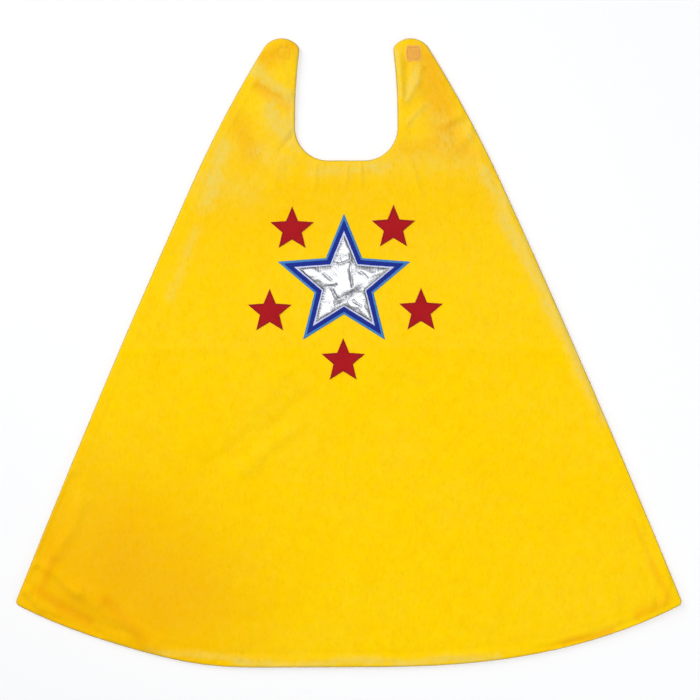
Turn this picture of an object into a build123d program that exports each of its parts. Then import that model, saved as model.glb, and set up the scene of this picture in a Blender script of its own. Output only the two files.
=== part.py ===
from build123d import *
import os
from math import cos, sin, pi, radians, sqrt

# Child's superhero cape, laid flat with its lining down and its straps pointing along +Y.
# The origin is on the surface it lies on, in the middle of its outline. Sizes are in mm.
# The cape is two layers of cloth, sewn right sides together and turned through, so a seam
# runs round the whole edge and its allowance lies between the layers. The front carries a
# padded star emblem. Each strap folds over along a line a little above the neck curve.

# --- outline of the cape -----------------------------------------------------------------
CAPE_LENGTH = 756.0        # strap tips to the middle of the hem
HEM_WIDTH = 803.0          # corner to corner, before the corners are rounded
HEM_SAG = 76.0             # how far the hem's middle drops below its corners
HEM_FULLNESS = 2.7         # power of the hem curve: 2 is a plain sag, more is a squarer hem
HEM_CORNER_RADIUS = 6.0
SIDE_BULGE = 12.0          # how far the side edges bow out from a straight line
SIDE_BULGE_AT = 0.75       # where they bow most, as a share of the way up the edge
TOP_SHIFT = -3.2           # the neck and straps lie this far to the left of the hem's middle

# --- straps and neck ---------------------------------------------------------------------
STRAP_GAP_AT_TIPS = 113.0  # between the two straps, at their ends
NECK_WIDTH = 124.0         # between the two straps, at the neck
NECK_DEPTH = 147.0         # strap tips down to the neck curve
NECK_CORNER_RADIUS = 40.0
NECK_FLARE_HEIGHT = 50.0   # above the neck curve, where the straps start to lean in
STRAP_END_WIDTH = 42.5
STRAP_END_RISE = 11.5      # how far the rounded strap end rises above its corners
STRAP_CORNER_RADIUS = 10.0  # where the rounded end meets the strap's inner edge
FOLD_ABOVE_NECK = 39.0     # strap fold line above the neck curve
FOLD_GAP = 0.3             # clearance between a strap and the body, at the fold line

# --- layers, from the surface up ---------------------------------------------------------
LINING_THICKNESS = 1.4
ALLOWANCE_THICKNESS = 1.0
FACE_THICKNESS = 2.0       # velour with its pile
ALLOWANCE_WIDTH = 12.0
SEAM_INSET = 0.5           # the seam lies this far inside the edge
SEAM_THREAD_WIDTH = 0.8
BACKING_THICKNESS = 0.5    # non-woven sheet behind the embroidery
BACKING_MARGIN = 6.0       # how far the backing runs past the red stars

# --- emblem ------------------------------------------------------------------------------
EMBLEM_ABOVE_HEM = 461.5   # centre of the big star, above the middle of the hem
EMBLEM_SIDE_SHIFT = -5.9   # centre of the big star, from the middle of the hem
BIG_STAR_RADIUS = 82.8     # to the tips of its stitched edge
BIG_STAR_NOTCH = 37.4      # to its inner corners
BLUE_EDGING_WIDTH = 2.6
BLUE_BORDER = 7.8          # blue cloth and its edging, from the outside to the silver star
SILVER_EDGING_WIDTH = 2.2
RED_STAR_RADIUS = 26.5
RED_STAR_NOTCH = 12.4
RED_EDGING_WIDTH = 1.6
# Each red star's distance from the centre of the big one, and its bearing from +X, anticlockwise.
RED_STAR_PLACES = {"upper_left": (90.0, 133.9), "upper_right": (89.4, 48.3), "left": (95.7, 201.0),
                   "right": (98.3, -19.7), "lower": (93.5, -90.6)}
APPLIQUE_THICKNESS = 0.6   # blue and red cloth
STITCH_HEIGHT = 1.2        # satin stitch above the cloth it is sewn to
LAME_THICKNESS = 0.5
PADDING_HEIGHT = 3.2
PADDING_SLOPE = 4.0        # width of the padding's sloping edge

# --- hook and loop patches ---------------------------------------------------------------
PATCH_SIDE = 19.0
PATCH_CORNER_RADIUS = 1.5
PATCH_BELOW_TIP = 18.0     # patch centre below the strap tip
HOOK_SHIFT = -3.0          # of the patch from the middle of the strap end, outwards
LOOP_SHIFT = 3.0
HOOK_THICKNESS = 1.0       # pressed flush into the lining
LOOP_THICKNESS = 1.5
PATCH_STITCH_INSET = 2.2
PATCH_STITCH_WIDTH = 0.6
PATCH_STITCH_HEIGHT = 0.4

# --- heights and places that follow ------------------------------------------------------
Z_ALLOWANCE = LINING_THICKNESS
Z_FACE = Z_ALLOWANCE + ALLOWANCE_THICKNESS
Z_TOP = Z_FACE + FACE_THICKNESS
Y_TIPS = CAPE_LENGTH / 2
Y_HEM = -CAPE_LENGTH / 2
Y_NECK = Y_TIPS - NECK_DEPTH
Y_FOLD = Y_NECK + FOLD_ABOVE_NECK
Y_STRAP_END = Y_TIPS - STRAP_END_RISE
Y_CORNER = Y_HEM + HEM_SAG
TIP_INNER = STRAP_GAP_AT_TIPS / 2
TIP_OUTER = TIP_INNER + STRAP_END_WIDTH
TIP_MIDDLE = (TIP_INNER + TIP_OUTER) / 2
FAR = 2 * (CAPE_LENGTH + HEM_WIDTH)


def hem_edge(spans=8):
    """The hem's height over its lowest point is its sag times the share of the way out to a
    corner, raised to the power of its fullness."""
    shares = [2 * i / spans - 1 for i in range(spans + 1)]
    return Spline(*[(share * HEM_WIDTH / 2, Y_HEM + HEM_SAG * abs(share) ** HEM_FULLNESS)
                    for share in shares])


def side_edges(side):
    """Two arcs that meet where the edge bows out most, parallel there to its chord."""
    corner = Vector(side * HEM_WIDTH / 2, Y_CORNER)
    strap = Vector(TOP_SHIFT + side * TIP_OUTER, Y_STRAP_END)
    chord = strap - corner
    outwards = Vector(side * chord.Y, -side * chord.X).normalized()
    fullest = corner + chord * SIDE_BULGE_AT + outwards * SIDE_BULGE
    return [TangentArc(fullest, corner, tangent=-chord), TangentArc(fullest, strap, tangent=chord)]


def strap_edges(side):
    """The rounded end of a strap and its inner edge, down to the straight side of the neck."""
    x = [TOP_SHIFT + side * across for across in (TIP_OUTER, TIP_MIDDLE, TIP_INNER)]
    end = ThreePointArc((x[0], Y_STRAP_END), (x[1], Y_TIPS), (x[2], Y_STRAP_END))
    flare = (TOP_SHIFT + side * NECK_WIDTH / 2, Y_NECK + NECK_FLARE_HEIGHT)
    return [end, TangentArc(flare, (x[2], Y_STRAP_END), tangent=(0, 1))]


def neck_edge():
    left, right = TOP_SHIFT - NECK_WIDTH / 2, TOP_SHIFT + NECK_WIDTH / 2
    flare = Y_NECK + NECK_FLARE_HEIGHT
    return FilletPolyline((left, flare), (left, Y_NECK), (right, Y_NECK), (right, flare),
                          radius=NECK_CORNER_RADIUS)


def outline():
    """The whole flat outline, as a face on the surface that the cape lies on."""
    edges = [hem_edge(), neck_edge()]
    for side in (-1, 1):
        edges += side_edges(side) + strap_edges(side)
    sheet = make_face(Curve() + edges)
    hem_corners = [v for v in sheet.vertices() if abs(v.Y - Y_CORNER) < 1e-3]
    sheet = fillet(hem_corners, HEM_CORNER_RADIUS)
    strap_corners = [v for v in sheet.vertices() if abs(v.Y - Y_STRAP_END) < 1e-3
                     and abs(v.X - TOP_SHIFT) < TIP_MIDDLE]
    return fillet(strap_corners, STRAP_CORNER_RADIUS)


def inset_outline(inset, spans=8):
    """The outline moved inwards, with its offset curves drawn afresh as plain splines."""
    edges = offset(outline(), -inset).edges()
    edges = [e if e.geom_type in (GeomType.LINE, GeomType.CIRCLE)
             else Spline(*[e @ (i / spans) for i in range(spans + 1)]) for e in edges]
    return make_face(Curve() + edges)


def zone_of(face, where):
    """The piece of a flat outline on the body, the left strap or the right strap."""
    if where == "body":
        low, high, left, right = -FAR, Y_FOLD - FOLD_GAP / 2, -FAR, FAR
    else:
        low, high = Y_FOLD + FOLD_GAP / 2, FAR
        left, right = (-FAR, TOP_SHIFT) if where == "left" else (TOP_SHIFT, FAR)
    window = Rectangle(right - left, high - low)
    return face & Pos((left + right) / 2, (low + high) / 2) * window


def plate(face, z, thickness):
    return Pos(0, 0, z) * extrude(face, thickness)


def star_face(tip, notch, inset=0.0):
    """A five-pointed star, point up, with its edges moved in by inset."""
    tenth = radians(36)
    edge = sqrt(tip ** 2 + notch ** 2 - 2 * tip * notch * cos(tenth))
    edge_distance = tip * notch * sin(tenth) / edge
    scale_in = 1 - inset / edge_distance
    corners = []
    for i in range(10):
        reach = scale_in * (tip if i % 2 == 0 else notch)
        angle = radians(90) + i * tenth
        corners.append((reach * cos(angle), reach * sin(angle)))
    return make_face(Polyline(*corners, close=True))


def emblem_at():
    return Pos(EMBLEM_SIDE_SHIFT, Y_HEM + EMBLEM_ABOVE_HEM, 0)


def applique_star(tip, notch, edging_width):
    """A star of cloth, and the satin stitch that covers its cut edge."""
    cloth = plate(star_face(tip, notch, edging_width / 2), Z_TOP, APPLIQUE_THICKNESS)
    border = star_face(tip, notch) - star_face(tip, notch, edging_width)
    stitches = plate(border, Z_TOP, STITCH_HEIGHT) - cloth
    return cloth, stitches


def star_block(inset, z, height, slope):
    """A star with sloping sides, for the padding and for the cloth drawn over it."""
    bottom = Pos(0, 0, z) * star_face(BIG_STAR_RADIUS, BIG_STAR_NOTCH, inset)
    top = Pos(0, 0, z + height) * star_face(BIG_STAR_RADIUS, BIG_STAR_NOTCH, inset + slope)
    return loft([bottom, top], ruled=True)


def silver_star():
    """The padding, the silver cloth over it and the stitching round the silver cloth."""
    z = Z_TOP + APPLIQUE_THICKNESS
    edge = BLUE_BORDER + SILVER_EDGING_WIDTH / 2
    cover_solid = star_block(edge, z, PADDING_HEIGHT + LAME_THICKNESS, PADDING_SLOPE)
    padding = star_block(edge + 2 * LAME_THICKNESS, z, PADDING_HEIGHT, PADDING_SLOPE)
    border = star_face(BIG_STAR_RADIUS, BIG_STAR_NOTCH, BLUE_BORDER)
    border -= star_face(BIG_STAR_RADIUS, BIG_STAR_NOTCH, BLUE_BORDER + SILVER_EDGING_WIDTH)
    stitches = plate(border, z, STITCH_HEIGHT) - cover_solid
    return padding, cover_solid - padding, stitches


def patch_at(side, shift):
    return Pos(TOP_SHIFT + side * (TIP_MIDDLE + shift), Y_TIPS - PATCH_BELOW_TIP, 0)


def square(side, radius=0.0):
    return RectangleRounded(side, side, radius) if radius else Rectangle(side, side)


def stitch_square():
    """The square of stitches that holds a patch."""
    outer = PATCH_SIDE - 2 * PATCH_STITCH_INSET
    return square(outer) - square(outer - 2 * PATCH_STITCH_WIDTH)


def cloth_layers(where):
    """The face, the lining, and the seam's allowance and thread between them."""
    whole = zone_of(outline(), where)
    rings = [SEAM_INSET, SEAM_INSET + SEAM_THREAD_WIDTH, ALLOWANCE_WIDTH]
    outside, seam, raw_edge = [plate(zone_of(inset_outline(inset), where), Z_ALLOWANCE,
                                     ALLOWANCE_THICKNESS) for inset in rings]
    return {"face": plate(whole, Z_FACE, FACE_THICKNESS),
            "lining": plate(whole, 0, LINING_THICKNESS),
            "allowance": seam - raw_edge,
            "thread": outside - seam}


def build():
    names = {"face": "face_panel", "lining": "lining_panel", "allowance": "seam_allowance",
             "thread": "seam_thread"}
    parts = {names[layer]: solid for layer, solid in cloth_layers("body").items()}
    for side in ("left", "right"):
        for layer, solid in cloth_layers(side).items():
            parts[f"{side}_strap_{layer}"] = solid

    blue, blue_edging = applique_star(BIG_STAR_RADIUS, BIG_STAR_NOTCH, BLUE_EDGING_WIDTH)
    padding, silver, silver_edging = silver_star()
    for name, solid in (("blue_star", blue), ("blue_star_edging", blue_edging),
                        ("star_padding", padding), ("silver_star", silver),
                        ("silver_star_edging", silver_edging)):
        parts[name] = emblem_at() * solid
    for name, (distance, bearing) in RED_STAR_PLACES.items():
        cloth, stitches = applique_star(RED_STAR_RADIUS, RED_STAR_NOTCH, RED_EDGING_WIDTH)
        turn = radians(bearing)
        place = emblem_at() * Pos(distance * cos(turn), distance * sin(turn), 0)
        parts[f"red_star_{name}"] = place * cloth
        parts[f"red_star_edging_{name}"] = place * stitches
    furthest = max(distance for distance, _ in RED_STAR_PLACES.values())
    backing = Circle(furthest + RED_STAR_RADIUS + BACKING_MARGIN)
    parts["embroidery_backing"] = emblem_at() * plate(backing, Z_FACE - BACKING_THICKNESS,
                                                      BACKING_THICKNESS)

    patch = square(PATCH_SIDE, PATCH_CORNER_RADIUS)
    at = patch_at(-1, HOOK_SHIFT)
    hook = at * plate(patch, 0, HOOK_THICKNESS)
    below = at * plate(stitch_square(), 0, PATCH_STITCH_HEIGHT)
    above = at * plate(stitch_square(), Z_TOP - PATCH_STITCH_HEIGHT, PATCH_STITCH_HEIGHT)
    parts["hook_patch"] = hook - below
    parts["hook_patch_stitching"] = below + above
    parts["left_strap_lining"] -= hook
    parts["left_strap_face"] -= above

    at = patch_at(1, LOOP_SHIFT)
    loop = at * plate(patch, Z_TOP, LOOP_THICKNESS)
    below = at * plate(stitch_square(), 0, PATCH_STITCH_HEIGHT)
    above = at * plate(stitch_square(), Z_TOP + LOOP_THICKNESS - PATCH_STITCH_HEIGHT,
                       PATCH_STITCH_HEIGHT)
    parts["loop_patch"] = loop - above
    parts["loop_patch_stitching"] = above + below
    parts["right_strap_lining"] -= below
    return parts


os.makedirs("parts", exist_ok=True)
for name, solid in build().items():
    export_step(solid, f"parts/{name}.step")
    print(name, round(solid.volume, 1))
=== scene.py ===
# %% [markdown]
# # A superhero cape, laid flat
# A child's costume cape is two layers of cloth sewn right sides together, turned through and laid
# flat with its velour face up. The emblem is applique: stars of cloth held down by satin stitch,
# and the silver one is padded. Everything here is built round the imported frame, in metres.

# %% Load the frame
import bpy
import numpy as np
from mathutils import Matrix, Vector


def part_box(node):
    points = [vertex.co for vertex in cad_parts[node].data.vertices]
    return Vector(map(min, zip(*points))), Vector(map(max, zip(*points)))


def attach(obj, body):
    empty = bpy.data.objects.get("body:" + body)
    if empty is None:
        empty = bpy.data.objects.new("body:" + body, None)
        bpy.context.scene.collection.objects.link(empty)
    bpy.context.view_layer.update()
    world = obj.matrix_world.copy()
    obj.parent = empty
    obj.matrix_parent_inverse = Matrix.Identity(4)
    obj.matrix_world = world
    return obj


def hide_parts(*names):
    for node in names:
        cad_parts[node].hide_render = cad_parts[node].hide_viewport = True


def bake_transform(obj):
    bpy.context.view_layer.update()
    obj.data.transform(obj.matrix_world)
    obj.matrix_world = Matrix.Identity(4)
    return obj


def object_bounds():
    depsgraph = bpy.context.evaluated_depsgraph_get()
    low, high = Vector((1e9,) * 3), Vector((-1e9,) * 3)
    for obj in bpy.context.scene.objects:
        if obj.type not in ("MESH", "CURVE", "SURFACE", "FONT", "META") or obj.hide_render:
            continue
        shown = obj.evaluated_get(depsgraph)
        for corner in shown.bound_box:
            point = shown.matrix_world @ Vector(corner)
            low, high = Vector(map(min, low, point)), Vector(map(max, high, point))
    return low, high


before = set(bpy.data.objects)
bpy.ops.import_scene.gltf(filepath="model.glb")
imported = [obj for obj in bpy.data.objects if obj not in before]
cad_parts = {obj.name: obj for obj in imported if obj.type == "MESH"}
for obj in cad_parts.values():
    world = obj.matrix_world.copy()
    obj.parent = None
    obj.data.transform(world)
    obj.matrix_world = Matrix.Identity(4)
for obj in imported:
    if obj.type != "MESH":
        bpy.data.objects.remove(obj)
CAD_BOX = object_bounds()
MM = 0.001
LOW, HIGH = [np.array(corner) for corner in CAD_BOX]
SPREAD = HIGH - LOW
print("box in mm", LOW / MM, HIGH / MM)

# %% [markdown]
# ## Heights in the stack of cloth
# The layers lie on each other, so each piece takes its height from the node that it stands for.
# The seam that joins face and lining is turned to the inside and sits half way up the edge.

# %% Heights, from the frame
def low(node):
    """The lowest corner of a node's box."""
    return np.array(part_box(node)[0])


def high(node):
    """The highest corner of a node's box."""
    return np.array(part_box(node)[1])


def middle_of(node):
    """The middle of a node's box, seen from above."""
    return (low(node) + high(node))[:2] / 2


def half_width(node):
    return (high(node)[0] - low(node)[0]) / 2


Z_FACE = high("face_panel")[2]
Z_LINING = low("lining_panel")[2]
Z_ALLOWANCE = low("seam_allowance")[2]
Z_SEAM = (low("seam_thread")[2] + high("seam_thread")[2]) / 2
Z_BLUE = high("blue_star")[2]
FOLD_Y = (high("face_panel")[1] + low("left_strap_face")[1]) / 2
print("face", Z_FACE / MM, "seam", Z_SEAM / MM, "fold line", FOLD_Y / MM)

# %% [markdown]
# ## Small helpers
# Colours are written as the hex values that a picture editor shows, and one function turns them
# into the linear values that the shader works in. One function adds a node with its settings and
# links. Every mesh is a grid of points worked out by numpy, and one function makes the piece.

# %% Colour, nodes and meshes
def colour(hex_value):
    """Linear RGBA of an sRGB hex colour: c/12.92 when dark, ((c + 0.055)/1.055) to the 2.4 above."""
    srgb = np.array([int(hex_value[i:i + 2], 16) for i in (1, 3, 5)]) / 255
    linear = np.where(srgb <= 0.04045, srgb / 12.92, ((srgb + 0.055) / 1.055) ** 2.4)
    return (*linear.tolist(), 1.0)


def add_node(tree, kind, settings=None, links=None):
    """A node of this kind. Settings go to an input of that name or number, or else to a property;
    links name an input and the output that feeds it."""
    node = tree.nodes.new(kind)
    for name, value in (settings or {}).items():
        if isinstance(name, int) or name in node.inputs:
            node.inputs[name].default_value = value
        else:
            setattr(node, name, value)
    for name, source in (links or {}).items():
        tree.links.new(source, node.inputs[name])
    return node


def new_material(name):
    """An empty material: its tree, its shader and the Object coordinates."""
    material = bpy.data.materials.new(name)
    material.use_nodes = True
    tree = material.node_tree
    shader = tree.nodes["Principled BSDF"]
    coordinates = add_node(tree, "ShaderNodeTexCoord").outputs["Object"]
    return material, tree, shader, coordinates


def set_shader(shader, **values):
    """Sets the shader's own inputs, with _ written for each space in their names."""
    for name, value in values.items():
        shader.inputs[name.replace("_", " ")].default_value = value


def quads_of(rows, columns, wrap_rows=False, wrap_columns=False):
    """The quads of a grid: point (i, j), (i, j+1), (i+1, j+1), (i+1, j), with ends joined if asked."""
    i, j = np.meshgrid(np.arange(rows if wrap_rows else rows - 1),
                       np.arange(columns if wrap_columns else columns - 1), indexing="ij")
    near, far = (i, (i + 1) % rows), (j, (j + 1) % columns)
    corners = [near[a] * columns + far[b] for a, b in ((0, 0), (0, 1), (1, 1), (1, 0))]
    return np.stack(corners, axis=-1).reshape(-1, 4)


def make_piece(name, points, faces, material, flip=False):
    """A smooth-shaded mesh object at the origin, from points in metres."""
    mesh = bpy.data.meshes.new(name)
    faces = [np.asarray(f)[:, ::-1] if flip else np.asarray(f) for f in faces]
    corners = [face for group in faces for face in group.tolist()]
    mesh.from_pydata(np.asarray(points).reshape(-1, 3).tolist(), [], corners)
    mesh.validate()
    mesh.shade_smooth()
    mesh.materials.append(material)
    piece = bpy.data.objects.new(name, mesh)
    bpy.context.scene.collection.objects.link(piece)
    print(name, len(mesh.vertices), "points", len(mesh.polygons), "faces")
    return piece


def paint(piece, name, values):
    """Stores up to three values a point as one colour attribute, for the material to read."""
    attribute = piece.data.attributes.new(name, "FLOAT_COLOR", "POINT")
    rgba = np.ones((len(piece.data.vertices), 4), np.float32)
    rgba[:, :3] = values
    attribute.data.foreach_set("color", rgba.ravel())


# %% [markdown]
# ## Camera, light and floor
# The cape lies flat and is seen square-on from above, as clothes are shown in a catalogue. A large
# softbox over the camera gives the even light and the white shine on the silver. A second one, low
# on the upper left, rakes over the cloth, because low light is what makes small wrinkles show. A
# small third one opens the shadows on the other side.

# %% Stage
scene = bpy.context.scene
scene.view_settings.view_transform = "Standard"
scene.view_settings.look = "None"

VIEW_WIDTH = 1.05 * SPREAD[0]
AIM_SHIFT = np.array([1.3, 3.3, 0]) * MM    # the cape is not quite in the middle of the view
AIM = (LOW + HIGH) / 2 + AIM_SHIFT
camera_data = bpy.data.cameras.new("camera")
camera_data.lens, camera_data.sensor_width = 100, 36
camera = bpy.data.objects.new("camera", camera_data)
camera.location = (AIM[0], AIM[1], HIGH[2] + VIEW_WIDTH * camera_data.lens / camera_data.sensor_width)
scene.collection.objects.link(camera)
scene.camera = camera


def add_softbox(name, place, size, watts):
    """A square area light that faces the middle of the cape."""
    data = bpy.data.lights.new(name, "AREA")
    data.size, data.energy = size, watts
    lamp = bpy.data.objects.new(name, data)
    lamp.location = place
    back = lamp.location.copy()
    lamp.rotation_euler = back.to_track_quat("Z", "Y").to_euler()
    scene.collection.objects.link(lamp)


add_softbox("overhead_softbox", (0.1, 0.1, 3.0), 1.9, 53)
add_softbox("raking_light", (-3.2, 2.6, 1.9), 2.2, 88)
add_softbox("fill_light", (1.8, -1.3, 1.2), 1.2, 9)

world = bpy.data.worlds.new("studio")
world.use_nodes = True
world.node_tree.nodes["Background"].inputs["Color"].default_value = colour("#F4F6FA")
world.node_tree.nodes["Background"].inputs["Strength"].default_value = 0.30
scene.world = world

floor_paint, tree, shader, _ = new_material("matt_white_paper")
set_shader(shader, Base_Color=colour("#FCFCFC"), Roughness=0.9, Specular_IOR_Level=0.1)
FLOOR_HALF = 15.0
floor_points = np.array([[-1, -1, 0], [1, -1, 0], [1, 1, 0], [-1, 1, 0]]) * FLOOR_HALF
floor_points[:, 2] = LOW[2] - 0.2 * MM
make_piece("floor", floor_points, [[[0, 1, 2, 3]]], floor_paint)

# %% [markdown]
# ## The outline that everything follows
# A dressmaker cuts both layers from one paper pattern. Here the pattern is read back from the
# frame: the lining's plates are flat, so the edges that only one of their top faces uses are the
# outline. It is then cut into the runs that a pattern has: hem, sides, straps and neck.

# %% Read the pattern
def rim(node, z):
    """The closed outline, anticlockwise, of the faces of a node that lie at height z."""
    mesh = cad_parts[node].data
    place = [tuple(round(c / MM, 4) for c in v.co) for v in mesh.vertices]
    following = {}
    for face in mesh.polygons:
        ring = [place[i] for i in face.vertices]
        if all(abs(p[2] - z / MM) < 0.01 for p in ring) and face.normal.z > 0.5:
            for a, b in zip(ring, ring[1:] + ring[:1]):
                if following.get(b) == a or (b, a) in following:
                    following.pop((b, a))
                else:
                    following[(a, b)] = True
    step = {a: b for a, b in following}
    start = next(iter(step))
    chain = [start]
    while step[chain[-1]] != start:
        chain.append(step[chain[-1]])
    return np.array(chain)[:, :2] * MM


def run_between(loop, start, end):
    """The stretch of a closed outline from the point nearest start to the point nearest end."""
    a, b = [np.argmin(np.linalg.norm(loop - p, axis=1)) for p in (start, end)]
    return np.roll(loop, -a, axis=0)[:(b - a) % len(loop) + 1]


def furthest(loop, direction):
    """The point of an outline that lies furthest in a direction."""
    return loop[np.argmax(loop @ np.array(direction))]


def run_along(line):
    """The distance run from a line's first point to each of its points."""
    return np.concatenate([[0], np.cumsum(np.linalg.norm(np.diff(line, axis=0), axis=1))])


def along(line, shares):
    """Points at these shares of a line's length, by linear interpolation."""
    run = run_along(line)
    return np.stack([np.interp(shares * run[-1], run, line[:, k]) for k in range(line.shape[1])], axis=1)


def length_of(line):
    return np.linalg.norm(np.diff(line, axis=0), axis=1).sum()


def unit(vectors):
    """Each vector at length 1."""
    return vectors / np.linalg.norm(vectors, axis=1)[:, None]


def full_turn(count):
    """Angles that share a full turn evenly."""
    return np.linspace(0, 2 * np.pi, count, endpoint=False)


lining_top = low("seam_allowance")[2]
body_loop = rim("lining_panel", lining_top)
strap_loops = {side: rim(f"{side}_strap_lining", lining_top) for side in ("left", "right")}
top_points = body_loop[body_loop[:, 1] > high("lining_panel")[1] - 0.01 * MM]
fold_ends = top_points[np.argsort(top_points[:, 0])]
print("outline points", len(body_loop), "fold ends in mm", fold_ends / MM)

# %% Cut the outline into its runs
LEFT_OUTER, LEFT_INNER, RIGHT_INNER, RIGHT_OUTER = fold_ends
LEFT_CORNER = furthest(body_loop, (-1, -0.4))
RIGHT_CORNER = furthest(body_loop, (1, -0.4))
left_side = run_between(body_loop, LEFT_OUTER, LEFT_CORNER)
hem = run_between(body_loop, LEFT_CORNER, RIGHT_CORNER)
right_side = run_between(body_loop, RIGHT_CORNER, RIGHT_OUTER)
neck = run_between(body_loop, RIGHT_INNER, LEFT_INNER)

# Cloth cut across its grain stretches, so the hem has dropped a little left of its middle.
HEM_DROP, HEM_DROP_AT, HEM_DROP_REACH = 5 * MM, 0.284, 81 * MM
dropped = (hem[:, 0] - LOW[0] - SPREAD[0] * HEM_DROP_AT) / HEM_DROP_REACH
hem[:, 1] -= HEM_DROP * np.exp(-dropped ** 2)


# Each strap's free edge goes from one end of its fold line round the tip to the other.
right_edge = run_between(strap_loops["right"], RIGHT_OUTER, RIGHT_INNER)
left_edge = run_between(strap_loops["left"], LEFT_INNER, LEFT_OUTER)

OUTLINE_STEP = 1 * MM
whole = np.concatenate([run[:-1] for run in (left_side, hem, right_side, right_edge, neck, left_edge)])
whole = np.concatenate([whole, whole[:1]])
OUTLINE = along(whole, np.linspace(0, 1, int(length_of(whole) / OUTLINE_STEP)))[:-1]
print("hem", length_of(hem) / MM, "neck", length_of(neck) / MM, "whole edge in mm", length_of(whole) / MM)


# %% Distance from the edge
def edge_distance(points, outline):
    """For each point, its distance to a closed outline, and how far along the outline that is:
    the nearest outline point is found first, then the nearest place on the two steps beside it."""
    distance = np.empty(len(points))
    place = np.empty(len(points))
    ahead = np.roll(outline, -1, axis=0)
    step = np.linalg.norm(ahead - outline, axis=1)
    run = np.concatenate([[0], np.cumsum(step)])
    flat = outline.astype(np.float32)
    CHUNK = 1500
    for first in range(0, len(points), CHUNK):
        p = points[first:first + CHUNK]
        near = ((p.astype(np.float32)[:, None] - flat[None]) ** 2).sum(-1).argmin(1)
        best = np.full(len(p), np.inf)
        where = np.zeros(len(p))
        for k in (near, (near - 1) % len(outline)):
            a, b = outline[k], ahead[k]
            t = np.clip(((p - a) * (b - a)).sum(1) / step[k] ** 2, 0, 1)
            d = np.linalg.norm(p - a - t[:, None] * (b - a), axis=1)
            where = np.where(d < best, run[k] + t * step[k], where)
            best = np.minimum(d, best)
        distance[first:first + CHUNK] = best
        place[first:first + CHUNK] = where
    return distance, place


# %% [markdown]
# ## A grid that fits the pattern
# A sheet needs a mesh whose rows follow its edges, so that the edges can be rolled and stitched
# cleanly. A Coons patch does that: each point is a blend between opposite edges, so a square grid
# is stretched to fit four curves. The rows are half a millimetre apart at the edges, where the
# cloth rolls over, and a few millimetres apart in the middle.

# %% Patches
def graded(length, fine, coarse, growth, both=True):
    """Shares from 0 to 1 whose steps start at fine, grow by a factor up to coarse, and shrink
    again at the other end."""
    steps = []
    while sum(steps) < length / 2 and (not steps or steps[-1] < coarse):
        steps.append(fine * growth ** len(steps))
    middle = length - (2 if both else 1) * sum(steps)
    count = max(2, int(round(middle / coarse)))
    steps = np.array(steps + [middle / count] * count + (steps[::-1] if both else []))
    return np.concatenate([[0], np.cumsum(steps) / steps.sum()])


def coons(bottom, top, left, right, u, v):
    """P(u, v) = (1-v) bottom(u) + v top(u) + (1-u) left(v) + u right(v) - the blend of the corners."""
    u, v = u[None, :, None], v[:, None, None]
    bottom, top, left, right = bottom[None], top[None], left[:, None], right[:, None]
    corners = ((1 - u) * (1 - v) * bottom[:, :1] + u * (1 - v) * bottom[:, -1:]
               + (1 - u) * v * top[:, :1] + u * v * top[:, -1:])
    return (1 - v) * bottom + v * top + (1 - u) * left + u * right - corners


EDGE_STEP = 0.45 * MM
CLOTH_STEP = 3.1 * MM
STRAP_STEP = 1.4 * MM
GROWTH = 1.35
NECK_FROM, NECK_TO = 0.25, 0.75

side_width = length_of(hem) * NECK_FROM
u_side = graded(side_width, EDGE_STEP, CLOTH_STEP, GROWTH)
u_middle = graded(length_of(hem) * (NECK_TO - NECK_FROM), EDGE_STEP * 2, CLOTH_STEP, GROWTH)
u_body = np.concatenate([u_side * NECK_FROM, NECK_FROM + u_middle[1:] * (NECK_TO - NECK_FROM),
                         NECK_TO + u_side[1:] * (1 - NECK_TO)])
v_body = graded(length_of(left_side), EDGE_STEP, CLOTH_STEP, GROWTH)
top_edge = np.concatenate([along(np.array([LEFT_OUTER, LEFT_INNER]), u_side),
                           along(neck[::-1], u_middle)[1:],
                           along(np.array([RIGHT_INNER, RIGHT_OUTER]), u_side)[1:]])
body_grid = coons(along(hem, u_body), top_edge, along(left_side[::-1], v_body),
                  along(right_side, v_body), u_body, v_body)
body_grid[-1, :, 1] = np.where(top_edge[:, 1] > LEFT_OUTER[1] - EDGE_STEP / 9, FOLD_Y, body_grid[-1, :, 1])
print("body grid", body_grid.shape)


def strap_grid(edge, start, end):
    """A strap's patch, from its fold line to its rounded tip. Its corners are the points of the
    tip that lie furthest up to the left and up to the right."""
    upper_left, upper_right = furthest(edge, (-1, 1.35)), furthest(edge, (1, 1.35))
    rising = edge if edge[0, 0] > edge[-1, 0] else edge[::-1]
    corner_right = np.argmin(np.linalg.norm(rising - upper_right, axis=1))
    corner_left = np.argmin(np.linalg.norm(rising - upper_left, axis=1))
    right, tip, left = rising[:corner_right + 1], rising[corner_right:corner_left + 1], rising[corner_left:]
    v = graded(length_of(left), EDGE_STEP, STRAP_STEP, GROWTH)
    base = along(np.array([start, end]), u_side)
    grid = coons(base, along(tip[::-1], u_side), along(left[::-1], v), along(right, v), u_side, v)
    grid[0, :, 1] = FOLD_Y
    return grid


left_grid = strap_grid(left_edge, LEFT_OUTER, LEFT_INNER)
right_grid = strap_grid(right_edge, RIGHT_INNER, RIGHT_OUTER)
print("strap grids", left_grid.shape, right_grid.shape)

# %% [markdown]
# ## Wrinkles
# Velour that has been folded in a packet and shaken out keeps soft creases: drags in the corners
# of the hem, gathers along it where the turned-in allowance fights the curve, a faint line across
# the middle where the cape was folded, and small pulls round the stitching. Each crease is a soft
# ridge along a line, and its line is bent a little by smooth noise, so that none is ruler-straight.

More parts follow.
